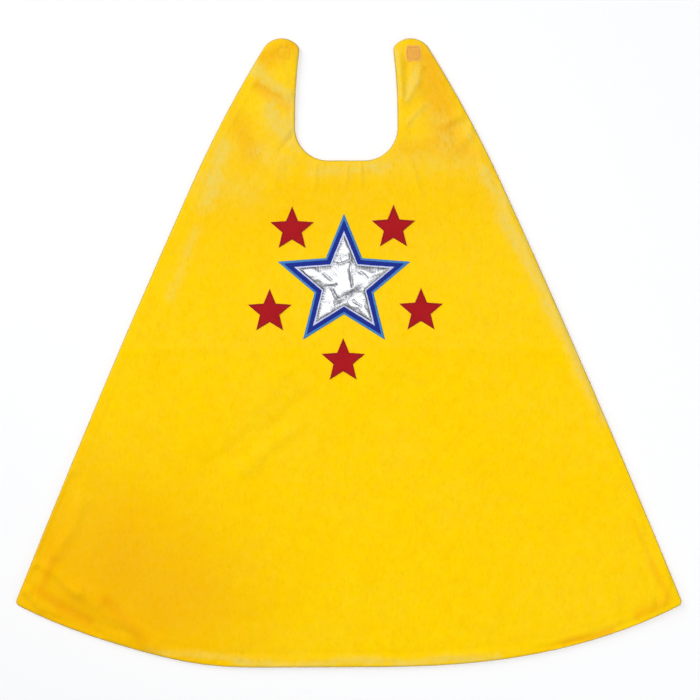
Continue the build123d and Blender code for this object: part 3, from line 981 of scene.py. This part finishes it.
def satin_stitch(name, star, width, lift, step_up, material, seed, base=0.0):
    """P(s, t) = outer(s)(1-t) + inner(s)t, at height face + base + step_up t + lift sin(pi t)^0.6,
    with ribs (0.78 + 0.22 |sin(pi s / pitch)|), closed underneath."""
    centre, tip, notch = star
    edge = np.linalg.norm(np.subtract(*star_corners(centre, tip, notch)[:2]))
    count = int(edge / SATIN_PITCH) * SATIN_SAMPLES
    tips = star_corners(centre, tip, notch)
    tips[::2] += (tips[::2] - centre) * TIP_REACH / tip
    outer = ring_path(tips, count, 1)
    inner = ring_path(star_corners(centre, tip, notch, width), count, 1)
    phase = np.arange(len(outer)) / SATIN_SAMPLES
    rib = np.abs(np.sin(np.pi * phase))
    random = np.random.default_rng(seed)
    ragged = random.uniform(-1, 1, (2, int(phase[-1]) + 2))[:, np.floor(phase).astype(int)]
    ragged *= RAGGED / width
    reach = ARCH[None, :] * (1 + ragged[0] - ragged[1])[:, None] - ragged[0][:, None] / 2
    flat = outer[:, None] * (1 - reach[..., None]) + inner[:, None] * reach[..., None]
    face = far_face(flat[..., 0], flat[..., 1]) + base
    arch = np.sin(np.pi * ARCH) ** 0.6
    height = face + step_up * ARCH + lift * arch * (0.78 + 0.22 * rib)[:, None]
    upper = np.concatenate([flat, height[..., None]], axis=-1)
    under = np.concatenate([flat[:, ::-2], (face[:, ::-2] - 0.1 * MM)[..., None]], axis=-1)
    grid = np.concatenate([upper, under], axis=1)
    faces = quads_of(*grid.shape[:2], wrap_rows=True, wrap_columns=True)
    return make_piece(name, grid, [faces], material)


def fibre_material(name, tones, drift, fibre, gaps, bump, **finish):
    """Fibres in three tones. The first drifts to the lighter one by a soft noise, the darker one is
    painted shade in the gaps where the fibre pattern is low, and the same pattern raises the surface."""
    material, tree, shader, coordinates = new_material(name)
    tone = add_node(tree, "ShaderNodeTexNoise", {"Scale": drift[0], "Detail": drift[1]},
                    {"Vector": coordinates})
    strand = add_node(tree, *fibre, {"Vector": coordinates}).outputs["Fac"]
    body = add_node(tree, "ShaderNodeMix", {"data_type": "RGBA", 6: colour(tones[0]), 7: colour(tones[2])},
                    {0: tone.outputs["Fac"]}).outputs[2]
    # Painted shade: the darker tone goes where the fibre pattern is low.
    gap = add_node(tree, "ShaderNodeMapRange", {1: gaps[0], 2: gaps[1], 3: gaps[2], 4: 0.0}, {0: strand})
    laid = add_node(tree, "ShaderNodeMix", {"data_type": "RGBA", 7: colour(tones[1])},
                    {0: gap.outputs[0], 6: body}).outputs[2]
    tree.links.new(laid, shader.inputs["Base Color"])
    set_shader(shader, **finish)
    relief = add_node(tree, "ShaderNodeBump", {"Distance": bump[0], "Strength": bump[1]}, {"Height": strand})
    tree.links.new(relief.outputs[0], shader.inputs["Normal"])
    return material


def rayon_thread(name, *tones):
    """Rayon embroidery thread: smooth, and glossy along its length."""
    return fibre_material(name, tones, drift=(0.42 / MM, 2.0), gaps=(0.25, 0.5, 0.5), bump=(0.1 * MM, 0.6),
                          fibre=("ShaderNodeTexNoise", {"Scale": 1.25 / MM, "Detail": 1.0}),
                          Roughness=0.5, Specular_IOR_Level=0.12, Sheen_Weight=0.05)


TWILL_THREAD = 0.9 * MM    # real ribs lie 0.4 mm apart


def satin_cloth(name, *tones):
    """Polyester satin or twill: fine diagonal ribs, a soft shine, and tone that drifts a little."""
    ribs = {"bands_direction": "DIAGONAL", "Scale": 0.31 / TWILL_THREAD, "Distortion": 1.2, "Detail": 2.0}
    return fibre_material(name, tones, drift=(0.085 / MM, 3.0), gaps=(0.0, 0.6, 0.5), bump=(0.1 * MM, 0.5),
                          fibre=("ShaderNodeTexWave", ribs),
                          Roughness=0.7, Specular_IOR_Level=0.05, Sheen_Weight=0.02)


BLUE_SATIN = satin_cloth("royal_blue_polyester_satin", "#1D2D88", "#141E5C", "#26389E")
RED_SATIN = satin_cloth("red_polyester_satin", "#A8141B", "#800C12", "#B81E24")
LIGHT_BLUE_RAYON = rayon_thread("light_blue_rayon_thread", "#3B7CBE", "#285896", "#5290CE")
WHITE_RAYON = rayon_thread("white_rayon_thread", "#C9D0EC", "#8E9AC8", "#DDE2F4")
RED_RAYON = rayon_thread("dark_red_rayon_thread", "#97131A", "#680C12", "#A81E24")

# %% [markdown]
# ## Blue star and red stars
# A cloth star sits on the face, a cloth's thickness higher, and lifts a little between its
# stitches. Its stitching covers its cut edge, so each star is made together with its band.

# %% Blue star and red stars
CLOTH_THICKNESS = Z_BLUE - Z_FACE
STITCH_LIFT = 0.75 * MM
GAP_BELOW = 0.05 * MM      # between a cloth star and the face


def cloth_top(x, y, d):
    """The face under it, plus the cloth's thickness, rising from the rim over a millimetre, and a
    slight puff between the stitches."""
    rise = dome(d, 1 * MM)
    puff = 0.35 * MM * (1 - np.exp(-d / (4 * MM))) + 0.18 * MM * lattice_noise(x, y, 5 * MM, 51)
    return cloth_bottom(x, y, d) + rise * (CLOTH_THICKNESS + puff)


def cloth_bottom(x, y, d):
    return far_face(x, y) + GAP_BELOW


def satin_width(edging, cloth):
    """The cloth's cut edge lies in the middle of its stitching, so the band is twice as wide as
    the distance between the two stars' edges."""
    return 2 * (edge_apothem(*edging[1:]) - edge_apothem(*cloth[1:]))


def applique(node, edging_node, material, thread, cells, seed):
    """A cloth star and its satin stitch."""
    cloth = star_of(node)
    edging = star_of(edging_node, cloth[2] / cloth[1])
    piece = star_shell(node + "_cloth", cloth[0], star_corners(*cloth), cells, cloth_top, cloth_bottom,
                       material)
    stitches = satin_stitch(edging_node + "_satin", edging, satin_width(edging, cloth), STITCH_LIFT,
                            CLOTH_THICKNESS, thread, seed)
    stand_for(piece, node, "cape")
    stand_for(stitches, edging_node, "cape")
    centre, tip, notch = cloth
    flat = (2 * tip * np.sin(2 * TENTH), tip * (1 + np.cos(TENTH)))
    print(node, "cut", flat, "band width in mm", satin_width(edging, cloth) / MM)
    return cloth


BIG_STAR = applique("blue_star", "blue_star_edging",
                    BLUE_SATIN, LIGHT_BLUE_RAYON, 30, 61)
RED_EDGINGS = sorted(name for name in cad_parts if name.startswith("red_star_edging_"))
for number, edging in enumerate(RED_EDGINGS):
    applique(edging.replace("_edging", ""), edging,
             RED_SATIN, RED_RAYON, 16, 62 + number)

# %% [markdown]
# ## The padded silver star
# The star in the middle is lamé, a cloth with a thin metal coat, drawn over wadding and sewn down
# all round. It is larger than the place it is sewn to, so it crumples as it puffs up. That is a job
# for cloth simulation: the rim is pinned, the cloth is told that it is a hundredth too large, and
# pressure from below lifts it. The solver likes large things, so the star is simulated ten times
# its size. Afterwards the creases that the packet pressed in are drawn across it, and small
# puckers are added along the stitching.

# %% Puff up the star
SILVER = star_of("silver_star", BIG_STAR[2] / BIG_STAR[1])
SILVER_RIM = star_corners(*SILVER)
SIM_SCALE = 10
SIM_FRAMES = 34
SLACK = 0.012            # the lamé is this much longer than the place it covers
PUFF_LIMIT = 5.5 * MM
SILVER_CELLS = 38
PILLOW_REACH, PILLOW_HEIGHT = 9 * MM, 3 * MM


def simulate(piece, pinned):
    """Inflates an open sheet held at its pinned points, and returns its points."""
    group = piece.vertex_groups.new(name="rim")
    group.add([int(i) for i in pinned], 1.0, "REPLACE")
    cloth = piece.modifiers.new("puff", "CLOTH")
    settings = cloth.settings
    settings.quality = 7
    settings.vertex_group_mass = "rim"
    settings.use_pressure = True
    settings.uniform_pressure_force = 1.6
    settings.effector_weights.gravity = 0
    settings.shrink_min = -SLACK
    settings.tension_stiffness = settings.compression_stiffness = 25
    settings.shear_stiffness = 8
    settings.bending_stiffness = 20
    settings.air_damping = 2
    cloth.point_cache.frame_start, cloth.point_cache.frame_end = 1, SIM_FRAMES
    for number in range(1, SIM_FRAMES + 1):
        scene.frame_set(number)
    shaped = piece.evaluated_get(bpy.context.evaluated_depsgraph_get()).to_mesh()
    points = np.empty(len(shaped.vertices) * 3)
    shaped.vertices.foreach_get("co", points)
    piece.modifiers.remove(cloth)
    scene.frame_set(1)
    return points.reshape(-1, 3)


flat, kite_faces = welded(*kites(SILVER[0], SILVER_RIM, SILVER_CELLS))
rim_distance, rim_place = edge_distance(flat, ring_path(SILVER_RIM, 60))
rim_distance[rim_distance < 0.002 * MM] = 0
pillow = dome(rim_distance, PILLOW_REACH, PILLOW_HEIGHT)
start_height = pillow + 0.1 * MM * lattice_noise(*flat.T, 6 * MM, 71)
start_height *= np.clip(rim_distance / (2 * MM), 0, 1)
silver_points = np.column_stack([flat, start_height])
middle = np.append(SILVER[0], 0)
sheet = make_piece("lame_sheet", (silver_points - middle) * SIM_SCALE, [kite_faces], VELOUR)
silver_points = simulate(sheet, np.flatnonzero(rim_distance == 0)) / SIM_SCALE + middle
bpy.data.objects.remove(sheet)
print("puffed to", silver_points[:, 2].max() / MM, "mm, lowest", silver_points[:, 2].min() / MM)

# %% Silver star, wadding and white stitching
# Each crease of the star: start and end as shares of its tip radius from its centre, half-width
# and height in mm.
STAR_CREASES = [
    ((-0.20, 0.38), (0.14, 0.45), 1.7, -1.6), ((0.15, 0.57), (0.15, -0.05), 2.0, -1.7),
    ((-0.57, -0.16), (-0.16, -0.03), 1.7, -1.6), ((-0.14, -0.39), (0.28, -0.13), 3.4, -2.8),
    ((0.40, -0.06), (0.14, -0.20), 1.8, -1.4), ((-0.24, -0.12), (-0.10, -0.38), 2.0, -1.5),
    ((-0.11, 0.74), (-0.09, 0.46), 1.6, -0.9), ((0.11, 0.62), (0.18, 0.40), 1.7, -1.0),
    ((0.30, 0.22), (0.46, 0.10), 1.6, -0.9), ((-0.42, 0.20), (-0.25, 0.06), 1.8, -0.9),
    ((0.20, -0.34), (0.36, -0.48), 1.8, -1.0),
]
PUCKER_LENGTH = 3.0 * MM
PUCKER_HEIGHT = 0.5 * MM
WADDING_SHARE = 0.7
PADDING_HEIGHT, PADDING_REACH = 2.2 * MM, 8 * MM
LAME_THREAD = 1.3 * MM     # real threads lie 0.3 mm apart


def lame():
    """Metal-coated polyester cloth. Painted shade darkens it in the packet's creases and along its
    stitched rim, held in an attribute on the mesh, and its ribs of thread soften the shine everywhere."""
    material, tree, shader, coordinates = new_material("silver_lame_cloth")
    worn = add_node(tree, "ShaderNodeAttribute", {"attribute_name": "worn"})
    ribs = add_node(tree, "ShaderNodeTexWave", {"bands_direction": "X", "Scale": 0.31 / LAME_THREAD,
                                                "Distortion": 2.0, "Detail": 2.0}, {"Vector": coordinates})
    crumple = add_node(tree, "ShaderNodeTexNoise", {"Scale": 0.26 / MM, "Detail": 4.0},
                       {"Vector": coordinates})
    tone = add_node(tree, "ShaderNodeMix", {"data_type": "RGBA", 6: colour("#C2C3C7"), 7: colour("#F4F5F7")},
                    {0: crumple.outputs["Fac"]}).outputs[2]
    # Painted shade: a darker grey in the creases and along the rim, from the attribute.
    with_crease_shade = add_node(tree, "ShaderNodeMix", {"data_type": "RGBA", 7: colour("#6E6F74")},
                    {0: worn.outputs["Fac"], 6: tone}).outputs[2]
    tree.links.new(with_crease_shade, shader.inputs["Base Color"])
    set_shader(shader, Metallic=1.0, Roughness=0.44)
    height = add_node(tree, "ShaderNodeMath", {"operation": "MULTIPLY_ADD", 1: 0.6},
                      {0: ribs.outputs["Fac"], 2: crumple.outputs["Fac"]})
    bump = add_node(tree, "ShaderNodeBump", {"Distance": 0.3 * MM, "Strength": 0.5},
                    {"Height": height.outputs[0]})
    tree.links.new(bump.outputs[0], shader.inputs["Normal"])
    return material


def wadding_fibre():
    """Bonded polyester wadding: a white web of crimped fibres."""
    material, tree, shader, coordinates = new_material("bonded_polyester_wadding")
    stretched = add_node(tree, "ShaderNodeMapping", {"Scale": (1.0, 0.35, 1.0)}, {"Vector": coordinates})
    fibre = add_node(tree, "ShaderNodeTexNoise", {"Scale": 0.56 / MM, "Detail": 5.0, "Roughness": 0.6},
                     {"Vector": stretched.outputs[0]})
    tone = add_node(tree, "ShaderNodeMix", {"data_type": "RGBA", 6: colour("#D2D1CC"), 7: colour("#FFFEFA")},
                    {0: fibre.outputs["Fac"]}).outputs[2]
    tree.links.new(tone, shader.inputs["Base Color"])
    set_shader(shader, Roughness=0.95, Specular_IOR_Level=0.1, Sheen_Weight=0.3)
    bump = add_node(tree, "ShaderNodeBump", {"Distance": 0.6 * MM, "Strength": 0.8},
                    {"Height": fibre.outputs["Fac"]})
    tree.links.new(bump.outputs[0], shader.inputs["Normal"])
    return material


def nonwoven():
    """Spun-bonded backing, pressed with a grid of small points."""
    material, tree, shader, coordinates = new_material("spunbonded_polyester_backing")
    points = add_node(tree, "ShaderNodeTexVoronoi", {"Scale": 1 / (1.5 * MM), "Randomness": 0.1},
                      {"Vector": coordinates})
    share = add_node(tree, "ShaderNodeMapRange", {1: 0.1, 2: 0.4}, {0: points.outputs["Distance"]}).outputs[0]
    tone = add_node(tree, "ShaderNodeMix", {"data_type": "RGBA", 6: colour("#CFCDC6"), 7: colour("#F0EEE8")},
                    {0: share}).outputs[2]
    tree.links.new(tone, shader.inputs["Base Color"])
    set_shader(shader, Roughness=0.9, Specular_IOR_Level=0.1)
    bump = add_node(tree, "ShaderNodeBump", {"Distance": 0.2 * MM}, {"Height": points.outputs["Distance"]})
    tree.links.new(bump.outputs[0], shader.inputs["Normal"])
    return material


def star_folds(points):
    """How high the packet's creases stand at each point, in mm, and below 0 where they dip."""
    return strokes(*points.T, STAR_CREASES, SILVER[0], SILVER[1], 1.2 * MM, 73)


cover_height = np.maximum(silver_points[:, 2], 0.85 * pillow)
cover_height = PUFF_LIMIT * np.tanh(cover_height / PUFF_LIMIT)
wander = lattice_noise(rim_place, rim_place * 0, 9 * MM, 72)
pucker = np.sin(2 * np.pi * rim_place / PUCKER_LENGTH + 2.5 * wander)
near_rim = np.exp(-rim_distance / (4.5 * MM)) * (1 - np.exp(-rim_distance / (1 * MM)))
cover_height = cover_height + PUCKER_HEIGHT * pucker * near_rim
cover_height += MM * star_folds(flat) * np.clip(rim_distance / (5 * MM), 0, 1)
padding_height = 1.25 * WADDING_SHARE * dome(rim_distance, PADDING_REACH, PADDING_HEIGHT)
base_height = far_face(*flat.T) + CLOTH_THICKNESS
cover_xy = np.where((rim_distance > 0)[:, None], silver_points[:, :2], flat)
upper = np.column_stack([cover_xy, base_height + np.maximum(cover_height, padding_height)])
lower = np.column_stack([flat, base_height])
places, faces = welded(np.concatenate([upper, lower]),
                       np.concatenate([kite_faces, kite_faces[:, ::-1] + len(upper)]))
puffed = make_piece("silver_star_lame", places, [faces], lame())
# Painted shade for the lamé: darker in the packet's creases and along its stitched rim.
rim, _ = edge_distance(places[:, :2], ring_path(SILVER_RIM, 60))
speckle = 1 + 0.5 * lattice_noise(*places[:, :2].T, 1.6 * MM, 76)
crease_shade_amount = -0.32 * star_folds(places[:, :2])
paint(puffed, "worn", np.clip((crease_shade_amount + 0.75 * np.exp(-(rim / (3.2 * MM)) ** 2)) * speckle, 0, 1)[:, None])
smooth = puffed.modifiers.new("smooth", "SUBSURF")
smooth.levels = smooth.render_levels = 1
stand_for(puffed, "silver_star", "cape")


def wadding_bottom(x, y, d):
    return far_face(x, y) + CLOTH_THICKNESS + 0.1 * MM


def wadding_top(x, y, d):
    """A low pillow with a fibrous surface, thinner than the lamé's puff so that it stays inside."""
    pillow = WADDING_SHARE * dome(d, PADDING_REACH, PADDING_HEIGHT)
    return wadding_bottom(x, y, d) + pillow * (1 + 0.12 * lattice_noise(x, y, 3 * MM, 75))


wadding = star_shell("star_padding_wadding", SILVER[0], star_corners(*SILVER, inset=2 * MM), 26,
                     wadding_top, wadding_bottom, wadding_fibre())
stand_for(wadding, "star_padding", "cape")

silver_edging = star_of("silver_star_edging", BIG_STAR[2] / BIG_STAR[1])
white_satin = satin_stitch("silver_star_edging_satin", silver_edging, satin_width(silver_edging, SILVER),
                           STITCH_LIFT, CLOTH_THICKNESS / 2, WHITE_RAYON, 80, base=CLOTH_THICKNESS)
stand_for(white_satin, "silver_star_edging", "cape")

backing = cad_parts["embroidery_backing"]
backing.data.materials[0] = nonwoven()

# %% [markdown]
# ## Hook and loop patches
# The patches that close the neck are squares of woven tape. The loop patch, on top of the right
# strap, carries a mat of fine loops; the hook patch, under the left strap, carries rows of small
# plastic hooks. One function makes hundreds of tubes at once along the same bent line, each
# turned by its own angle. A line of lockstitches holds each patch, and pulls the cloth in.

# %% Tape squares
def rounded_square(centre, half, turns, power=8):
    """Points round a square with rounded corners: |x|^n + |y|^n = half^n."""
    c, s = np.cos(turns), np.sin(turns)
    reach = half / (np.abs(c) ** power + np.abs(s) ** power) ** (1 / power)
    return centre + reach[:, None] * np.column_stack([c, s])


def fan(ring, pole, sides):
    """The triangles from a ring of points, given by its number, to one point in its middle."""
    around = np.arange(sides)
    return np.column_stack([ring * sides + around, ring * sides + (around + 1) % sides, np.full(sides, pole)])


def tape_square(centre, z_low, z_high):
    """A closed slab whose section is carried round a rounded square, with both middles closed."""
    turns = full_turn(144)
    bevel = 0.2 * MM
    section = [(0.25, z_high), (0.5, z_high), (0.75, z_high), (0.93, z_high),
               (0.985, z_high - bevel / 3), (1, z_high - bevel),
               (1, z_low + bevel), (0.985, z_low + bevel / 3), (0.93, z_low), (0.5, z_low)]
    rings = [np.column_stack([rounded_square(centre, PATCH_HALF * share, turns), np.full(len(turns), z)])
             for share, z in section]
    points = np.concatenate(rings + [[[*centre, z_high]], [[*centre, z_low]]])
    count, sides = len(section), len(turns)
    faces = [quads_of(count, sides, wrap_columns=True)[:, ::-1], fan(0, count * sides, sides),
             fan(count - 1, count * sides + 1, sides)[:, ::-1]]
    return points, faces


def bent_tubes(centres, turns, sizes, line, radius, sides=4):
    """Tubes along one bent line in a vertical plane, one at each centre (x, y, z), turned about
    the vertical by its own angle and scaled by its own size. The line is (along, up) in metres."""
    tangent = unit(np.gradient(line, axis=0))
    across = np.column_stack([-tangent[:, 1], tangent[:, 0]])
    angle = full_turn(sides) + np.pi / 4
    section = line[:, None] + radius * np.cos(angle)[None, :, None] * across[:, None]
    forward, up = section[..., 0], section[..., 1]
    sideways = np.broadcast_to(radius * np.sin(angle), forward.shape)
    c, s, size = [v[:, None, None] for v in (np.cos(turns), np.sin(turns), sizes)]
    points = np.stack([size * (c * forward + s * sideways), size * (s * forward - c * sideways),
                       size * np.broadcast_to(up, (len(turns), *up.shape))], axis=-1) + centres[:, None, None]
    tube = len(line) * sides
    quads = quads_of(len(line), sides, wrap_columns=True)
    shift = (np.arange(len(turns)) * tube)[:, None, None]
    caps = [cap[None] + shift[:, 0] for cap in (np.arange(sides)[::-1], np.arange(tube - sides, tube))]
    return points.reshape(-1, 3), [(quads[None] + shift).reshape(-1, 4)] + caps


def woven_tape(name, gloss, *tones):
    """Woven nylon tape, or the nylon loops and hooks on it."""
    return fibre_material(name, tones, drift=(0.2 / MM, 3.0), gaps=(0.25, 0.55, 0.45), bump=(0.15 * MM, 1.0),
                          fibre=("ShaderNodeTexNoise", {"Scale": 0.83 / MM, "Detail": 2.0}),
                          Roughness=gloss, Specular_IOR_Level=0.2, Sheen_Weight=0.2)


LOOP_TAPE = woven_tape("knitted_nylon_loop_tape", 0.8, "#F6BE4C", "#E8AC40", "#FFCE66")
HOOK_TAPE = woven_tape("woven_nylon_hook_tape", 0.5, "#E0A851", "#B8843A", "#EBBB6C")
PATCH_THREAD = spun_thread("spun_thread_yellow", "#EAB030", "#D29A24")


def patch_lattice(centre, pitch, seed, jitter):
    """Places on a square lattice that stay inside a patch and off its line of stitches."""
    count = int(2 * PATCH_HALF / pitch)
    row = (np.arange(count) - (count - 1) / 2) * pitch
    x, y = [v.ravel() for v in np.meshgrid(row, row)]
    random = np.random.default_rng(seed)
    x, y = x + random.uniform(-jitter, jitter, x.shape), y + random.uniform(-jitter, jitter, y.shape)
    reach = square_distance(x, y, (0, 0))
    keep = (reach < PATCH_HALF - 0.6 * MM) & (np.abs(reach - STITCH_HALF) > 0.35 * MM)
    return centre + np.column_stack([x, y])[keep], random


def make_patch(name, centre, z_low, z_high, tufts, material, body):
    """A tape square with its loops or hooks as one piece of the strap."""
    shape = joined([tape_square(centre, z_low, z_high), tufts])
    stand_for(make_piece(name + "_tape", *shape, material), name, body)


LOOP_BASE = Z_FACE + 0.75 * MM
LOOP_PITCH, LOOP_WIRE = 0.68 * MM, 0.075 * MM
half_turn = np.linspace(-0.25 * np.pi, 1.25 * np.pi, 9)
loop_line = np.column_stack([0.36 * MM * np.cos(half_turn), 0.42 * MM + 0.5 * MM * np.sin(half_turn)])
places, random = patch_lattice(LOOP_CENTRE, LOOP_PITCH, 81, 0.16 * MM)
loops = bent_tubes(np.column_stack([places, np.full(len(places), LOOP_BASE - 0.05 * MM)]),
                   random.uniform(0, 2 * np.pi, len(places)), random.uniform(0.75, 1.2, len(places)),
                   loop_line, LOOP_WIRE)
make_patch("loop_patch", LOOP_CENTRE, Z_FACE - 0.35 * MM, LOOP_BASE, loops, LOOP_TAPE,
           "right_strap")

HOOK_BASE = 0.5 * MM
HOOK_PITCH, HOOK_WIRE = 1.15 * MM, 0.09 * MM
hook_line = np.array([(0, 0.04), (0, -0.12), (0.01, -0.25), (0.08, -0.36), (0.20, -0.38), (0.29, -0.30),
                      (0.30, -0.22)]) * MM
places, random = patch_lattice(HOOK_CENTRE, HOOK_PITCH, 82, 0.04 * MM)
hooks = bent_tubes(np.column_stack([places, np.full(len(places), HOOK_BASE)]),
                   np.pi * random.integers(0, 2, len(places)) + random.uniform(-0.2, 0.2, len(places)),
                   np.ones(len(places)), hook_line, HOOK_WIRE)
make_patch("hook_patch", HOOK_CENTRE, HOOK_BASE, HOOK_TOP, hooks, HOOK_TAPE,
           "left_strap")

# %% [markdown]
# ## Stitches round the patches
# The machine goes once round each square. Its thread shows on both sides of the strap, sunk into
# the face's pile over the hook patch and standing among the loops on the loop patch.

# %% Patch stitches
PATCH_STITCH = 2.4 * MM
PATCH_THREAD_RADIUS = 0.24 * MM


def stitch_square(centre, height):
    """A closed run of stitches round a patch, at a height for each of its points."""
    ring = rounded_square(centre, STITCH_HALF, full_turn(200), 14)
    path = np.column_stack([ring, height(*ring.T)])
    return thread_tube(path, PATCH_THREAD_RADIUS, PATCH_STITCH, closed=True)


def on_face(x, y):
    """The stitches sink a little into the face's pile."""
    d, s = edge_distance(np.column_stack([x, y]), OUTLINE)
    return face_height(x, y, d, s) - 0.05 * MM


def on_loops(x, y):
    return np.full_like(x, LOOP_BASE + 0.3 * MM)


def on_lining(x, y):
    return np.full_like(x, Z_LINING + PATCH_THREAD_RADIUS + 0.02 * MM)


for name, centre, top, body in (("hook_patch_stitching", HOOK_CENTRE, on_face, "left_strap"),
                                ("loop_patch_stitching", LOOP_CENTRE, on_loops, "right_strap")):
    shapes = [stitch_square(centre, top), stitch_square(centre, on_lining)]
    stitches = make_piece(name + "_thread", *joined(shapes), PATCH_THREAD)
    stand_for(stitches, name, body)
    INSIDE[body].append(stitches)

# %% [markdown]
# ## Sizes of the sheets
# The size and area that each sheet was cut to are printed, and each sheet rides on its part or is
# baked where it lies.

# %% Sheets
def cut_area(grid):
    """The area of a grid of points laid flat: half the cross product of each quad's diagonals."""
    a, b = grid[1:, 1:] - grid[:-1, :-1], grid[1:, :-1] - grid[:-1, 1:]
    return float(np.abs(a[..., 0] * b[..., 1] - a[..., 1] * b[..., 0]).sum() / 2)


for part, grid in GRIDS.items():
    face, lining = SHEETS[part]
    size = np.ptp(grid.reshape(-1, 2), axis=0)
    area = cut_area(grid)
    print(part, "cut to", size / MM, "mm, area", area, "m2")
    follow(face, part)
    follow(lining, part)
